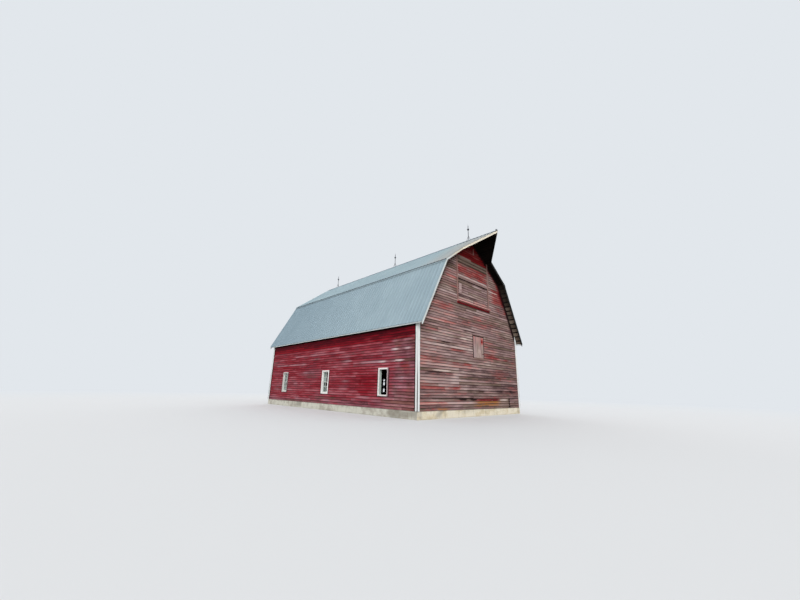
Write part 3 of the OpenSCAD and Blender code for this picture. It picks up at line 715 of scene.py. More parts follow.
SIDE_MARKS = [
    (3, 8.3, 3.38, 3.5, -30, 40, 55), (7.5, 9.2, 3.68, 3.82, -40, -30, 0, 20),
    (5.5, 9, 3.1, 3.3, 40, 30), (7.2, 8.5, 2.24, 2.36, -30, 40, 50),
    (3.6, 4.9, 4, 4.12, -30, 40, 50), (3.2, 4.9, 1.8, 2, -20, 40, 40),
    (3.2, 4.2, 2.58, 2.72, -40, -20, 0, 10), (3.8, 5.2, 0.84, 0.98, -30, 20, 30),
    (0.7, 1.9, 3.74, 3.9, -50, -20, 0, 10), (0.3, 0.9, 4.22, 4.36, -40, 20, 30),
    (0.8, 3.2, 2.35, 2.8, -30, 0), (-3, -0.3, 3.05, 3.8, -15, 25, 10),
    (-3.3, -2.3, 3.36, 3.48, -40, 50, 60), (-1.4, -1, 2.95, 3.1, -40, 50, 50),
    (-3.1, -2.4, 1.94, 2.08, -30, 50, 50), (-2.9, -1.2, 1.54, 1.66, 10, 60, 35),
    (-2.5, 0, 0.7, 0.82, 0, 50, 35), (-2.7, -0.6, 1.1, 1.5, 35, 30),
    (-6, -3.5, 3.14, 3.28, -30, 50, 35), (-8.5, -5.8, 3.14, 3.3, -100, 90, 130),
    (-9.1, -7.5, 3.8, 3.94, -90, 80, 120), (-9.2, -6.4, 3.45, 4.3, -28, 5, 10),
    (-9.1, -8.3, 3.5, 3.9, -50, -20, 0, 10), (-9, -7.4, 4.38, 4.52, -40, 50, 30),
    (-9.45, -9, 3, 4.7, -60, -25, 0, 10), (-9.42, -9.2, 4.58, 4.72, -50, 60, 90),
    (-6.3, -4.2, 1.3, 2.95, 40, 20, -10), (-5.4, -4.2, 0.97, 1.13, -40, 50, 40),
    (-8.8, -7.5, 1.2, 2, -35, 10, 5), (-9.3, -8.9, 1, 2, -10, -40, 0, 15),
    (-9.2, -7.3, 2.1, 2.22, -30, 40, 45), (-8.6, -7.9, 2.6, 2.72, -30, 40, 45),
    (-5.2, -3.6, 2.5, 2.62, 10, 50, 30), (-9.4, 9.6, 0.4, 0.62, -45, -10, 0, 10),
    (-9.4, 2, 0.6, 0.95, -25, -5, 0, 5), (5, 9, 1.3, 1.45, -30, 30, 30),
    (-2.5, 2.5, 4, 4.12, -10, 40, 20)]


def side_field(seed):
    """Deep red under the eave, more and more worn towards the near corner and the foot."""
    def field(a, z, tone):
        paint, light, pale, dirt = marks_at(SIDE_MARKS, a, z)
        patch = wobble(a * 0.28, z * 1.4, seed)
        high = smooth(z, 4.45, 4.7)
        paint += 0.62 + 0.06 * tone + 0.22 * patch + 0.16 * by_row(a * 0.9, z, seed) + 0.5 * high
        paint -= 0.14 * smooth(-a, 7.2, 9) * (1 - high) + 0.12 * smooth(1.4 - z, 0, 0.8)
        light += 0.46 + 0.1 * tone + 0.22 * wobble(a * 0.33, z * 2.1, seed + 5) - 0.15 * high
        # Darker rows towards the eave: painted shade under it
        light -= 0.3 * smooth(z, 4.75, 5)
        light += 0.25 * by_row(a * 1.1, z, seed + 7) + 0.06 * smooth(3.5 - z, 0, 1.5)
        pale += 0.18 + 0.3 * wobble(a * 0.5, z * 2.6, seed + 9) + 0.25 * by_row(a, z, seed + 2)
        near = smooth(-a, 7, 7.8) * (1 - high)
        paint -= 0.25 * smooth(-a, 6, 7.5) * smooth(1.4 - z, 0, 0.6)
        paint += near * (0.3 * wobble(a * 2.6, z * 0.9, seed + 4) - 0.1)
        light += near * 0.15 * wobble(a * 3.1, z * 1.1, seed + 6)
        rust = 0.22 * smooth(-a, 6, 8) * smooth(1.3 - z, 0, 0.7)
        rust = max(rust, 0.16 * near * smooth(wobble(a * 2.2, z * 0.8, seed + 8), 0.1, 0.4))
        shadow = smooth(z, 5.15, 5.25)
        pale = 0.8 * pale - 0.5 * high
        return clip(paint), clip(light), clip(pale), clip(max(dirt, shadow)), rust
    return field


END_MARKS = [
    # below the hatch
    (-5.5, -2.8, 3.05, 3.2, 10, 50, 30), (-2.8, 0.3, 3.08, 3.22, 35, 35, 10),
    (-2.6, -0.6, 3.24, 3.36, 50, -50, 0, 30), (-5, -2.9, 2.62, 2.74, -20, 50, 70),
    (-1.9, -1.3, 2.6, 2.72, -20, 50, 80), (0, 1.9, 2.62, 2.72, -20, 40, 60),
    (1.2, 1.9, 3.44, 3.56, -20, 50, 70), (-3, -2.6, 3.44, 3.56, -20, 50, 80),
    (-0.9, -0.5, 3.44, 3.56, -20, 50, 80), (-5.1, -2.7, 2.48, 2.58, 0, -50, -20, 55),
    (-1.9, 1.5, 2.44, 2.54, 0, -40, -20, 50), (2, 3, 2.44, 2.56, 40, -40, 0, 25),
    (1, 2.8, 2.09, 2.21, 30, -40, 0, 30), (-1, 5.5, 1.5, 1.62, 0, -40, -20, 40),
    (-2.6, -2.05, 1.98, 2.92, -10, 60, 35), (-5.5, -2, 1.72, 1.84, 50, 10, 0, 10),
    (-2.4, -1.95, 1.58, 1.9, 50, -30, 0, 15), (-1.9, -1, 1.74, 1.86, -20, 50, 70),
    (-1, 1.2, 1.6, 1.86, -40, -15, 0, 5), (-1.1, 1.5, 1.92, 2.03, 10, 60, 30),
    (1.3, 2.7, 1.34, 1.5, -30, 40, 20), (-5.6, -4.6, 1.24, 1.36, 50, -20, 0, 15),
    (-2.2, -1, 1.19, 1.31, 10, 50, 20), (-2.5, -0.2, 1.04, 1.16, 10, -40, -40, 78),
    (-0.2, 2.8, 1.04, 1.16, 60, -40, -30, 50), (2.9, 4, 1.04, 1.16, -20, 50, 70),
    (-5.6, 0, 0.9, 1, 0, 60, 35), (-5.3, -3.5, 0.74, 0.9, 60, 10),
    (-3.5, -0.9, 0.74, 0.9, 25, 30, 10), (3, 5.5, 1.2, 3, 0, -28, -10, 10),
    (2.5, 4.5, 2.88, 3.2, 40, -30, 0, 10), (-1, 3, 1.2, 2.9, 0, -24, -8, 5),
    (-5.6, 5.6, 2.2, 2.32, 10, 20, 10),
    # up to the ledge
    (-2.7, -1.3, 4.02, 4.14, 40, -50, 0, 30), (-5.4, -4, 4.39, 4.52, 50, 25),
    (-4, -2.7, 4.32, 4.44, 0, -50, -20, 75), (-5.3, -0.5, 4.2, 4.31, -10, 55, 40),
    (-4.5, -2.5, 4.5, 5.1, -30, 30, 10), (-1.9, -0.5, 4.3, 4.85, 15, 40, 15),
    (-1.9, -0.5, 4.86, 4.97, -20, 50, 80), (1.2, 2.2, 4.94, 5.06, 40, 30),
    (1.2, 2.8, 3.9, 4.2, 30, -40, 0, 15), (3.8, 4.4, 3.84, 3.98, 30, -50, 0, 30),
    (-1.5, 0.5, 5.5, 5.6, -20, 50, 70), (-1.5, 0.5, 5.38, 5.48, 0, -40, -20, 50),
    (1.7, 3.9, 5.68, 5.78, 0, -40, -20, 50), (3.4, 5, 6, 6.1, 0, -40, -20, 50),
    (2.6, 4.1, 6.14, 6.26, -30, 30, 30), (-5.2, -2.1, 5.7, 6.4, 20, 40, 5),
    (-3.4, -2.1, 6.18, 6.32, 45, 30), (-5, -2.4, 5.74, 5.88, 40, 30),
    (-1.4, -0.5, 6, 6.14, 50, 10), (-0.3, 0.9, 6.42, 6.72, 45, 10),
    (0.5, 1.7, 5.7, 5.82, -40, -20, 0, 5), (-4.6, -2.4, 6.75, 7, 35, 40),
    (-2, 2, 6.9, 7.24, -35, 5, 0, 10), (-1, 1.2, 5, 5.3, -20, 20, 15),
    # beside the hay door
    (-3, -2.05, 8.9, 9.12, 60, 20), (-3.5, -2.5, 7.75, 8.2, -30, 35, 15),
    (2, 3, 8.2, 9, 25, 40, 10), (2.6, 4, 8.2, 9.3, 70, -10, -20),
    (2, 3.3, 8.97, 9.08, -20, 50, 70), (2, 3.3, 9.1, 9.2, 0, -40, -20, 50),
    (3, 3.8, 7.7, 8.1, 30, -35, 0, 10), (-3.2, -1.95, 9.75, 10.1, -35, -20, 0, 15),
    (-2.6, -1.95, 10.2, 10.5, -20, 20, 10), (-3.3, -2, 9.3, 9.5, 30, 20),
    # on its leaves; the dark lines down the left edge and along the top of the lower one are painted
    # shade where it is set back
    (-1.3, 1.8, 7.9, 9, -35, 6, 2), (-1.2, -0.2, 8.05, 8.17, 30, 45, 10),
    (-1.85, 1.85, 7.89, 7.99, 0, -30, -20, 20), (-1.85, 0, 7.6, 7.86, 0, 60, 40),
    (0.1, 1.85, 7.6, 7.86, 50, 30), (-1.88, -1.78, 7.9, 9.1, 0, -50, 0, 70),
    (-1.88, 1.88, 9, 9.1, 0, -50, -20, 40), (0, 1.3, 9.62, 9.95, 45, 10),
    (-1.7, -1.1, 9.82, 10, 45, 10), (-1.8, 1.8, 9.3, 9.44, -10, 50, 35),
    (-1.88, 1.88, 9.44, 10.25, 50, -35, -25)]


def end_field(a, z, tone):
    """The front gable: mostly bare, with red left under the roof and in the peak."""
    paint, light, pale, dirt = marks_at(END_MARKS, a, z)
    verge = roof_u(z) - abs(a)
    kept = smooth(0.75 - verge, 0, 0.5) * (a > 0)
    kept *= smooth(z, 7.6, 8.5) + 0.3 * smooth(z, 5.6, 6.5)
    peak = smooth(z, 10.72, 10.86)
    paint += 0.26 + 0.04 * tone + 0.26 * wobble(a * 0.3, z * 1.7, 3) + 0.7 * max(0.6 * kept, peak)
    paint += 0.1 * by_row(a * 0.9, z, 2) + 0.05 * smooth(-a, 1.5, 4.5)
    light += 0.52 + 0.1 * tone + 0.25 * wobble(a * 0.35, z * 2.3, 8) - 0.12 * smooth(a, 0.5, 3.5)
    # The red kept under the right verge is also made darker: painted shade of the overhang
    light += 0.22 * by_row(a * 1.1, z, 5) - 0.3 * kept - 0.04 * peak
    pale += 0.26 + 0.3 * wobble(a * 0.5, z * 2.9, 14) + 0.25 * by_row(a, z, 6)
    pale -= 0.8 * max(kept, peak)
    # Painted shadow of the roof's edge below the right verge, and along the left verge
    dirt = max(dirt, smooth(0.5 - verge, 0, 0.2) * smooth(z, 5.5, 5.7) * (a > 0))
    left_verge_shade = smooth(0.18 - abs(verge - 0.64), 0, 0.16)
    dirt = max(dirt, 0.6 * left_verge_shade * smooth(z, 5.9, 6.1) * (a < 0))
    dirt = max(dirt, 0.8 * smooth(0.07 - abs(a - 4.25), 0, 0.05) * (0.5 < z < 1.2))
    rust = 0.95 * smooth(a, -0.8, 0.2) * smooth(3.3 - a, 0, 1) * (0.6 < z < 0.92)
    rust = max(rust, 0.7 * smooth(0.8 - abs(a + 3.7), 0, 0.6) * (z < 0.7))
    return clip(paint), clip(light), clip(pale), clip(dirt), rust


def rear_field(a, z, tone):
    """The rear gable, which the photo doesn't show: evenly worn, redder under the roof."""
    kept = smooth(0.7 - (roof_u(z) - abs(a)), 0, 0.5)
    paint = 0.48 + 0.08 * tone + 0.2 * wobble(a * 0.35, z * 1.3, 21) + 0.2 * kept
    paint += 0.15 * by_row(a * 0.9, z, 22)
    light = 0.45 + 0.15 * tone + 0.2 * wobble(a * 0.3, z * 1.9, 28) - 0.2 * kept
    light += 0.25 * by_row(a * 1.1, z, 29)
    pale = 0.22 + 0.25 * wobble(a * 0.5, z * 2.6, 33) + 0.25 * by_row(a, z, 24)
    return clip(paint), clip(light), clip(pale), 0, 0


# Each turns (along, out, up) on a wall's core into a point
LEFT, RIGHT = [lambda a, d, z, side=s: (side * (CORE_U + d), a, z) for s in (-1, 1)]
FRONT, REAR = [lambda a, d, z, side=s: (a, side * (CORE_L + d), z) for s in (-1, 1)]


def under_roof(z):
    """Half the width that siding may have at height z of a gable."""
    return roof_u(z + 0.01) - 0.003


window_holes = [(y - WINDOW_W / 2, y + WINDOW_W / 2) + WINDOW_Z for y in WINDOW_YS]
for name, at, seed in (("left", LEFT, 1), ("right", RIGHT, 12)):
    clad(f"{name}_boards", at, CORE_L, EAVE_Z - 0.01, window_holes, side_field(seed), side_paint,
         "red_siding", f"{name}_siding")
front_holes = [HATCH_X + HATCH_Z, (-HAY_X, HAY_X) + HAY_Z, TRACK_SLOT]
clad("front_boards", FRONT, HALF_W, RIDGE_Z - 0.05, front_holes, end_field, end_paint,
     "worn_siding", "front_siding", limit=under_roof,
     seams=[(-2.01, 1.57, 2.92), (4.23, 0.5, 1.23), (-4.2, 3.5, 4.7)],
     gaps=[(-3.2, 1.2, 4, 0.035), (2.4, 4.4, 34, 0.02), (-4.4, -2.4, 23, 0.02)])
clad("rear_boards", REAR, HALF_W, RIDGE_Z - 0.05, [], rear_field, end_paint,
     "red_siding", "rear_siding", limit=under_roof)


# Hay door: both leaves are boarded like the wall
def flat_board(build, x0, x1, z0, z1, out, wear, dirt=0, number=None, t=0.02):
    """A flat board on the gable, t thick, whose face stands out from the siding's core by out.
    wear holds paint, lightness and pale crust; number is the board's own, if it isn't drawn."""
    count = max(2, ceil((x1 - x0) / 0.3) + 1)
    own, other = rng.random(), rng.random()
    sections = []
    for i in range(count):
        x = x0 + (x1 - x0) * i / (count - 1)
        dz = 0.002 * wobble(x, z0, 4)
        sections.append([FRONT(x, d, z + dz) for d, z in
                         ((out - t, z0), (out, z0), (out, z1), (out - t, z1))])
    build.loft(sections, (*wear, number or own), (0.6, dirt, 0, other))


def hay_leaf(z0, z1, out):
    """Boards from z0 to z1 on a dark backing. out is how far they stand beyond the siding."""
    build = Build()
    edge = HAY_X - LEAF_GAP
    rows = ceil((z1 - z0) / ROW)
    for row in range(rows):
        low, high = z0 + row * ROW, min(z0 + (row + 1) * ROW, z1)
        cuts = split_run(-edge, edge, row)
        for b0, b1 in zip(cuts, cuts[1:]):
            add_board(build, lambda a, d, z: FRONT(a, out + d, z), b0 + END_GAP, b1 - END_GAP,
                      low, high, end_field, cove=high - low > ROW * 0.9)
    face = -CORE_L - out + 0.001
    build.box((-edge, face, z0), (edge, face + 0.026, z1), wear=(0.2, 0.3, 0, 0.5),
              place=(0.6, 0.9, 0, 0.5))
    return build


build = hay_leaf(HAY_JOINT + 0.03, HAY_Z[1], 0)
flat_board(build, -HAY_X, HAY_X, 9.12, 9.29, OVER, (0.15, 0.42, 0.1))
build.piece("hay_door_upper_boards", end_paint, "worn_siding", ["hay_door_upper_leaf"])
build = hay_leaf(HAY_Z[0] + 0.004, HAY_JOINT - 0.02, -0.03)
flat_board(build, -1.72, -1.42, 8.02, 8.78, -0.004, (0.1, 0.85, 0.6))
flat_board(build, 0.02, 0.08, 7.56, 7.84, -0.004, (0.95, 0.05, 0), 0.3)
build.piece("hay_door_lower_boards", end_paint, "worn_siding", ["hay_door_lower_leaf"])

# Narrow boards across the gable above the door, and the strip in the peak
build = Build()
# These boards are kept dark as painted shade under the hood; the first and third are darker still
for low, high, light, dirt in ((10.27, 10.38, 0, 0.45), (10.385, 10.495, 0.3, 0),
                               (10.5, 10.61, 0, 0.4), (10.615, 10.73, 0.35, 0)):
    flat_board(build, 0.01 - HAY_X, HAY_X - 0.01, low, high, OVER, (0, light, 0), dirt, 0.13)
flat_board(build, -1.75, -0.25, 10.735, 10.85, OVER, (0, 0.7, 0.5), 0, 0.11)
build.piece("peak_band", end_paint, "worn_siding")
build = Build()
flat_board(build, 0.09, 0.19, 11.38, 11.86, SIDING_T + 0.022, (0.42, 0.7, 0.2))
build.piece("peak_strip", upright_paint, "worn_siding")


def turned(build, centre, rings, sides=16):
    """A solid of revolution from (radius, height) pairs."""
    x, y, z = centre
    build.loft([[(x + r * cos(t), y + r * sin(t), z + h) for t in turn(sides)]
                for r, h in rings])


def straight(build, start, along, sides, rings):
    """A solid along a unit direction from (radius, distance) pairs."""
    start, along = Vector(start), Vector(along)
    a = along.orthogonal().normalized()
    b = along.cross(a)
    build.loft([[tuple(start + along * h + (a * cos(t) + b * sin(t)) * r)
                 for t in turn(sides)] for r, h in rings])


# Hatch of upright boards, and its strap hinges
def hatch_board(build, x0, x1):
    """One board from x0 to x1. Those on the right have kept some red near their tops."""
    own, other = rng.random(), rng.random()
    tone, out = rng.uniform(-0.15, 0.15), 0.002 + rng.uniform(0, 0.004)
    z0, z1 = HATCH_Z[0] + 0.004, HATCH_Z[1] - 0.008
    sections, wear = [], []
    for i in range(9):
        z = z0 + (z1 - z0) * i / 8
        sections.append([FRONT(x, d, z) for x, d in (
            (x0, -0.03), (x0, 0.012 + out), (x0 + 0.006, 0.018 + out), (x1 - 0.006, 0.018 + out),
            (x1, 0.012 + out), (x1, -0.03))])
        red = 0.6 * smooth(x0, 0.5, 0.7) * smooth(z, 4.75, 4.9) * smooth(5.2 - z, 0, 0.15)
        high = smooth(z, 4.4, 4.75)
        worn = (clip(0.08 + tone + 0.3 * high + red), clip(0.85 + tone - 0.3 * red),
                0.5 - 0.4 * high, own)
        wear += [worn] * 6
    build.loft(sections, wear, (0.6, 0, 0, other))


build = Build()
x = HATCH_X[0] + LEAF_GAP
while x < HATCH_X[1] - 0.02:
    w = min(rng.choice((0.16, 0.19, 0.21)), HATCH_X[1] - LEAF_GAP - x)
    hatch_board(build, x, x + w - 0.005)
    x += w
batten_x = [HATCH_X[0] + 0.03, HATCH_X[1] - 0.03]
for z0 in (HATCH_Z[0] + 0.2, HATCH_Z[1] - 0.36):
    build.box((batten_x[0], 0.03 - CORE_L, z0), (batten_x[1], 0.052 - CORE_L, z0 + 0.14))
build.piece("hatch_boards", upright_paint, "worn_siding", ["hatch_leaf"])
build = Build()
# Dark strips above and left of the hatch: painted shade of the gap round it
for box in ((-0.345, 1.05, HATCH_Z[1], 5.335), (-0.345, -0.275, 3.76, HATCH_Z[1])):
    flat_board(build, *box, SIDING_T + 0.016, (0.8, 0, 0), 0.6, t=0.015)
build.piece("hatch_trim", end_paint, "worn_siding")


def rounded_bar(direction, length):
    """Outline of one tapered hinge leaf with a rounded end, from the hinge's pin."""
    tip = [(length + 0.018 * sin(t), 0.018 * cos(t)) for t in (0.2, 0.8, 1.57, 2.34, 2.94)]
    return [(direction * px, pz) for px, pz in [(0.001, 0.035), *tip, (0.001, -0.035)]]


build = Build()
hinge_x = HATCH_X[1]
for z in HINGE_ZS:
    for direction, length in ((-1, 0.25), (1, 0.062)):
        outline = rounded_bar(direction, length)
        build.loft([[(hinge_x + px, -HALF_L - d, z + pz) for px, pz in outline]
                    for d in (0.001, 0.007)])
        for share in (0.35, 0.8):
            bolt_x = hinge_x + direction * length * share
            build.loft([[(bolt_x + r * cos(t), -HALF_L - d, z + r * sin(t)) for t in turn(6)]
                        for r, d in ((0.011, 0.006), (0.011, 0.009), (0.006, 0.012))])
    pin = [(0.008, h) for h in (-0.05, -0.045, 0.045, 0.05)]
    turned(build, (hinge_x, -HALF_L - 0.009, z), pin, 12)
hinge_iron = iron("hinge_iron", rgb(110, 20, 24), rgb(64, 16, 18))
build.piece("hatch_hinge_straps", hinge_iron, "hinge_iron", ["hatch_hinges"])


# Roof boards in place of the plain decks
def slope_point(side, upper, s, d, y):
    """A point s down a slope from its top edge, d above the roof line."""
    pitch, u0, z0 = (UPPER, 0, RIDGE_Z) if upper else (LOWER, BREAK_U, BREAK_Z)
    return (side * (u0 + s * cos(pitch) + d * sin(pitch)), y,
            z0 - s * sin(pitch) + d * cos(pitch))


def hood_y(u):
    """Front end of the roof boards, out to the hood's edge."""
    edge = HOOD_TIP - TRIM_T / cos(HOOD_ANGLE) - abs(u) * tan(HOOD_ANGLE)
    return -max(DECK_Y, edge)


def roof_boards(name, side, upper, replaced):
    """Spaced boards down one slope, painted dark as shade: all over the upper one, and below the
    break on the lower.
    """
    build = Build()
    length = BREAK_U / cos(UPPER) if upper else (DECK_U - BREAK_U) / cos(LOWER) - 0.02
    s = 0.025 if upper else 0
    while s < length - 0.06:
        w = min(rng.uniform(0.15, 0.19) if upper else rng.uniform(0.25, 0.28), length - s)
        profile = [(s, 0.001), (s + w, 0.001), (s + w, DECK_T - 0.001), (s, DECK_T - 0.001)]
        starts = [slope_point(side, upper, ss, d, 0) for ss, d in profile]
        front = [(x, (hood_y(x) if upper else -DECK_Y) + 0.004, z) for x, _, z in starts]
        rear = [(x, DECK_Y - 0.004, z) for x, _, z in starts]
        # How much painted shade the board gets
        underside_shade = 0.97 if upper else 0.12 + 0.75 * smooth(2.8 - s, 0, 2.4)
        build.loft([front, rear], (rng.random(), underside_shade, 0, rng.random()))
        s += w + (rng.uniform(0.02, 0.05) if upper else rng.uniform(0.09, 0.12))
    build.piece(name, board_wood, "roof_boards", replaced)


board_wood = roof_board_wood()
for upper, level in ((True, "upper"), (False, "lower")):
    for side, name in SIDES:
        roof_boards(f"{name}_{level}_boards", side, upper,
                    [f"{name}_{level}_deck"] + [f"hood_{name}_deck"] * upper)


# Foundation: rough walls, worn along the top and the foot
def footing(build, a0, a1, at, seed):
    """One wall from a0 to a1 along it. wear holds how far its limewash has gone."""
    n = ceil((a1 - a0) / 0.09)
    rows = 7
    sections, wear = [], []
    for i in range(n + 1):
        a = a0 + (a1 - a0) * i / n
        section = []
        for k in range(rows + 1):
            z = FOOT_H * k / rows
            rough = 0.5 + wobble(a * 1.2, z * 2.4, seed) + 0.35 * wobble(a * 6, z * 9, seed)
            inset = 0.012 * max(0, rough) + 0.012 * (k == rows)
            shift = 0.01 * wobble(a * 9, z * 9, seed + 3) if 0 < i < n else 0
            section.append(at(a + shift, -inset, z))
            gone = smooth(wobble(a * 0.7, z * 2, seed + 7), 0.12, 0.4) + 0.5 * (k == 0)
            wear.append((clip(gone * 0.8), 0, 0, 0))
        section += [at(a, -FOOT_T, FOOT_H), at(a, -FOOT_T, 0)]
        wear += [(0.6, 0, 0, 0)] * 2
        sections.append(section)
    build.loft(sections, wear)


build = Build()
inner = CORE_U - FOOT_T
for half, at, seed in ((CORE_L, LEFT, 1), (CORE_L, RIGHT, 4), (inner, FRONT, 7),
                       (inner, REAR, 9)):
    footing(build, -half, half, at, seed)
build.piece("foundation_walls", masonry(), "limewashed_concrete",
            ["foundation_sides", "foundation_ends"])


# Window bars and panes: two columns of four, some panes broken or gone
SASH_U = HALF_W - SASH_BACK - SASH_T / 2
SASH_MARGIN = 2 * (LINER_T + SEAT_GAP) + 2 * STILE_W
CLEAR_W = WINDOW_W - SASH_MARGIN
CLEAR_H = WINDOW_Z[1] - WINDOW_Z[0] - SASH_MARGIN
WINDOW_MID = sum(WINDOW_Z) / 2


# What is left of a pane, as shares of its width and height
PANE_SHAPES = {
    "whole": [[(0, 0), (1, 0), (1, 1), (0, 1)]],
    "corner": [[(0, 0), (0.62, 0), (0.44, 0.22), (0.2, 0.3), (0.12, 0.7), (0, 0.8)]],
    "hole": [[(0, 0), (1, 0), (1, 0.35), (0.7, 0.24), (0.42, 0.3), (0.25, 0.52), (0, 0.5)],
             [(0, 1), (0.1, 0.86), (0.4, 0.92), (0.8, 0.8), (1, 0.84), (1, 1)]],
    "gone": []}


def pane_shapes(kind, w, h):
    """Outlines of what is left of a pane w wide and h high, from its lower left corner."""
    return [[(w * x, h * y) for x, y in outline] for outline in PANE_SHAPES[kind]]


# Panes from the bottom row up, the front column first: what is left, and how dusty it is
PANES = {(-1, 1): "whole .1|whole .15|corner 1|hole .3|gone 0|whole .8|gone 0|whole .4",
         (-1, 2): "whole .3|whole .4|hole .3|whole .25|whole .45|whole .15|whole .35|whole .2",
         (1, 0): "whole .5|whole .7|hole .5|whole .6|whole .9|corner .5|whole .7|whole .6",
         (1, 1): "whole .6|hole .5|whole .8|whole .5|whole .7|whole .9|gone 0|whole .6",
         (1, 2): "gone 0|whole .9|whole .8|whole .9|gone 0|whole 1|hole .6|whole 1"}
bars, panes = Build(), Build()
for (side, index), text in PANES.items():
    y_mid = WINDOW_YS[index]
    pitch_w, pitch_h = CLEAR_W / 2, CLEAR_H / 4
    # Three bars across, the middle one thicker, and a thin one up the middle in two lengths
    for k in (1, 2, 3):
        z = WINDOW_MID - CLEAR_H / 2 + k * pitch_h
        half = 0.022 if k == 2 else 0.011
        bars.box((side * SASH_U - 0.015, y_mid - CLEAR_W / 2, z - half),
                 (side * SASH_U + 0.015, y_mid + CLEAR_W / 2, z + half))
    for z0, z1 in ((-CLEAR_H / 2, -0.022), (0.022, CLEAR_H / 2)):
        bars.box((side * SASH_U - 0.012, y_mid - 0.011, WINDOW_MID + z0),
                 (side * SASH_U + 0.012, y_mid + 0.011, WINDOW_MID + z1))
    for n, entry in enumerate(text.split("|")):
        kind, dust = entry.split()
        y0 = y_mid - CLEAR_W / 2 + (n % 2) * pitch_w + 0.002
        z0 = WINDOW_MID - CLEAR_H / 2 + (n // 2) * pitch_h + 0.002
        for outline in pane_shapes(kind, pitch_w - 0.004, pitch_h - 0.004):
            panes.loft([[(side * SASH_U + dx, y0 + py, z0 + pz) for py, pz in outline]
                        for dx in (-0.0015, 0.0015)], (float(dust), 0, 0, 0))
sash_paint = plain_white("sash_paint", rgb(222, 226, 222), rgb(140, 148, 142), 0.5)
bars.piece("window_bars", sash_paint, "sash_wood", bevel=0.003)
panes.piece("window_glass", dusty_glass(), "window_glass", ["window_panes"])


# Lightning rods: a rod on three feet, with a ball between two caps
def ball_rings(r, height, low, high):
    """(radius, height) pairs of a ball between two latitudes in degrees."""
    return [(r * cos(radians(t)), height + r * sin(radians(t)))
            for t in range(low, high, 12)]


rod_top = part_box("lightning_rods")[1].z
cap_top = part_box("ridge_cap")[1].z
rod_h = rod_top - cap_top
rods = Build()
for y in ROD_YS:
    base = (0, y, cap_top)
    turned(rods, base, [(0.024, 0.05), (0.022, rod_h - 0.2), (0.019, rod_h - 0.17),
                        (0.01, rod_h - 0.15), (0.0015, rod_h - 0.001)])
    turned(rods, base, [(0.016, 0.8), (0.032, 0.816), (0.034, 0.83)]
           + ball_rings(0.078, 0.88, -60, 61) + [(0.034, 0.93), (0.032, 0.944), (0.016, 0.96)], 20)
    for t in (0.52, 2.62, 4.71):
        x = 0.12 * cos(t)
        foot = Vector((x, y + 0.17 * sin(t), cap_top - abs(x) * tan(UPPER)))
        leg = Vector((0, y, cap_top + 0.36)) - foot
        straight(rods, foot, leg.normalized(), 8, [(0.011, 0), (0.011, leg.length)])
        turned(rods, foot, [(0.02, -0.008), (0.02, 0), (0.012, 0.008)], 10)
    turned(rods, base, [(0.015, 0.33), (0.02, 0.345), (0.02, 0.375), (0.015, 0.39)])
tip_y = TRIM_T / cos(HOOD_ANGLE) + 0.06 - HOOD_TIP
turned(rods, (0, tip_y, cap_top), [(0.02, -0.02), (0.018, 0.005)]
       + ball_rings(0.045, 0.047, -65, 80) + [(0.004, 0.093)], 20)
rods.piece("lightning_rod_set", iron("rod_iron", rgb(12, 16, 34), rgb(30, 34, 54)), "rod_metal",
           ["lightning_rods"])

# Screws along the lines where the sheets are held. They are as high as the tops of the ribs but
# halfway between two ribs, so each hangs a rib's height clear of the metal
FIRST_LINE, LINE_STEP, GAPS_EACH_WAY = 0.33, 0.61, 33
screws = Build()
for side, _ in SIDES:
    for upper, pitch, lines in ((True, UPPER, 7), (False, LOWER, 8)):
        normal = (side * sin(pitch), 0, cos(pitch))
        for line in range(lines):
            s = FIRST_LINE + LINE_STEP * line
            for gap in range(-GAPS_EACH_WAY, GAPS_EACH_WAY):
                at = slope_point(side, upper, s, RIB_TOP, RIB_PITCH * (gap + 0.5))
                straight(screws, at, normal, 6, [(0.01, 0), (0.006, 0.006)])
screws.piece("roof_screws", roof_low, "roof_metal")


# Finishes of the CAD nodes that show as they are
fascia_paint = plain_white("fascia_paint", rgb(242, 250, 252), rgb(176, 184, 184), 0.3, along=1)
for names, mat in (
        ("stable_floor", floor_concrete()), ("mow_posts", post_timber),
        ("mow_girders rafters ridge_board", old_timber), ("mow_joists mow_floor", joist_timber),
        ("left_wall right_wall front_wall front_wall_cheeks front_wall_peak rear_wall", wall_lining),
        ("corner_boards", corner_paint()), ("eave_fascias", fascia_paint),
        ("front_barge_boards rear_barge_boards", barge_paint()), ("window_frames", window_paint()),
        ("window_sashes", sash_paint), ("hay_door_casing", door_casing_paint()),
        ("hay_door_ledge", ledge_paint()), ("left_lower_roofing right_lower_roofing", roof_low),
        ("left_upper_roofing right_upper_roofing", roof_high), ("break_flashings", flashing_metal),
        ("ridge_cap", ridge_metal),
        ("hay_track", iron("track_iron", rgb(24, 20, 20), rgb(52, 36, 30)))):
    for name in names.split():
        cad[name].data.materials.clear()
        cad[name].data.materials.append(mat)


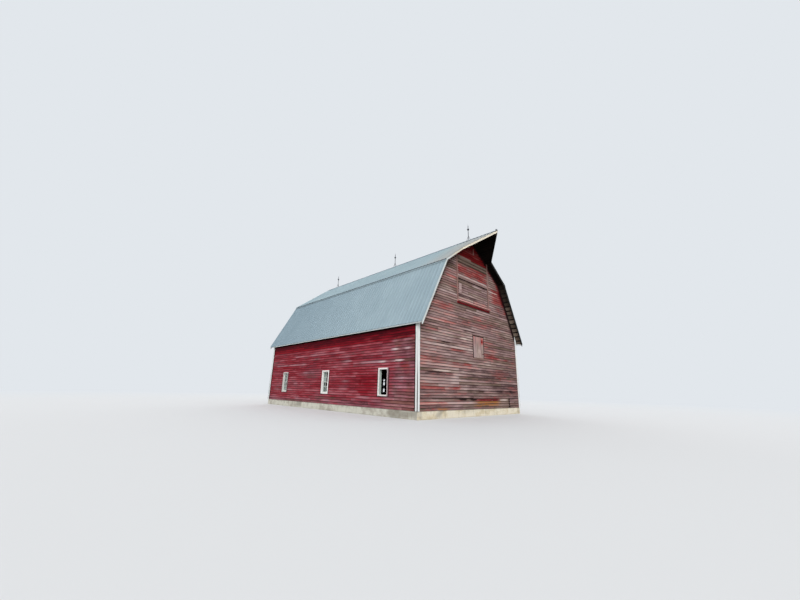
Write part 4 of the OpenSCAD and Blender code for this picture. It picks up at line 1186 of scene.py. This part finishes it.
# Studio: pale floor that fades into the backdrop, soft key light, even fill
PALE = rgb(226, 231, 236)
FLOOR_R = 400
floor_mesh = bpy.data.meshes.new("studio_floor")
corners = [(x * FLOOR_R, y * FLOOR_R, 0) for x, y in ((-1, -1), (1, -1), (1, 1), (-1, 1))]
floor_mesh.from_pydata(corners, [], [(0, 1, 2, 3)])
floor = add_object("studio_floor", floor_mesh)
m = Mat("studio_floor", 0.95)
seen = m.add("LightPath")
m.link(m.mix(seen, rgb(104, 108, 104), rgb(214, 216, 218)), "Base Color")
distance = m.add("VectorMath", {0: m.coords}, out=1, operation="LENGTH")
far = m.times(m.ramp(distance, 18, 70), seen)
glow = m.add("Emission", {"Color": PALE, "Strength": 1})
faded = m.add("MixShader", {0: far, 1: m.bsdf.outputs[0], 2: glow})
m.tree.links.new(faded, m.tree.nodes["Material Output"].inputs["Surface"])
floor_mesh.materials.append(m.mat)

world = bpy.data.worlds.new("studio")
world.use_nodes = True
tree = world.node_tree
share = add_node(tree, "LightPath", out="Is Camera Ray")
rays = share.node.outputs
for other in ("Is Glossy Ray", "Is Transmission Ray"):
    share = add_node(tree, "Math", {0: share, 1: rays[other]}, operation="MAXIMUM")
lit = add_node(tree, "Background", {"Color": (1, 1, 1, 1), "Strength": 0.66})
backdrop = add_node(tree, "Background", {"Color": PALE})
mixer = add_node(tree, "MixShader", {0: share, 1: lit, 2: backdrop})
tree.links.new(mixer, tree.nodes["World Output"].inputs["Surface"])
bpy.context.scene.world = world


def sun(name, direction, strength, angle):
    """A sun lamp. angle is its apparent size in degrees, large for soft shadows."""
    data = bpy.data.lights.new(name, "SUN")
    data.energy = strength
    data.angle = radians(angle)
    lamp = add_object(name, data)
    lamp.rotation_euler = Vector(direction).to_track_quat("-Z", "Y").to_euler()


sun("key_light", (0.64, 0.7, -0.68), 1.9, 25)
sun("front_fill", (0.7, 0.8, -0.12), 0.8, 40)
sun("rear_fill", (-0.7, -0.7, -0.45), 0.7, 60)

# Camera, as solved from the photograph's perspective: angles in radians, focal length in pixels
YAW, PITCH, ROLL = 0.7661, 0.269, 0.0241
FOCAL, PHOTO_W = 326.44, 800
EYE = (-19.428, -22.164, 1.545)
look = Vector((sin(YAW) * cos(PITCH), cos(YAW) * cos(PITCH), sin(PITCH)))
level_right = Vector((cos(YAW), -sin(YAW), 0))
level_up = level_right.cross(look)
right = level_right * cos(ROLL) + level_up * sin(ROLL)
up = level_up * cos(ROLL) - level_right * sin(ROLL)
camera = add_object("camera", bpy.data.cameras.new("camera"))
camera.data.sensor_width = 36
camera.data.lens = camera.data.sensor_width * FOCAL / PHOTO_W
camera.data.clip_end = 2000
axes = Matrix((right, up, -look)).transposed().to_4x4()
camera.matrix_world = Matrix.Translation(EYE) @ axes
bpy.context.scene.camera = camera
bpy.context.scene.view_settings.view_transform = "Standard"
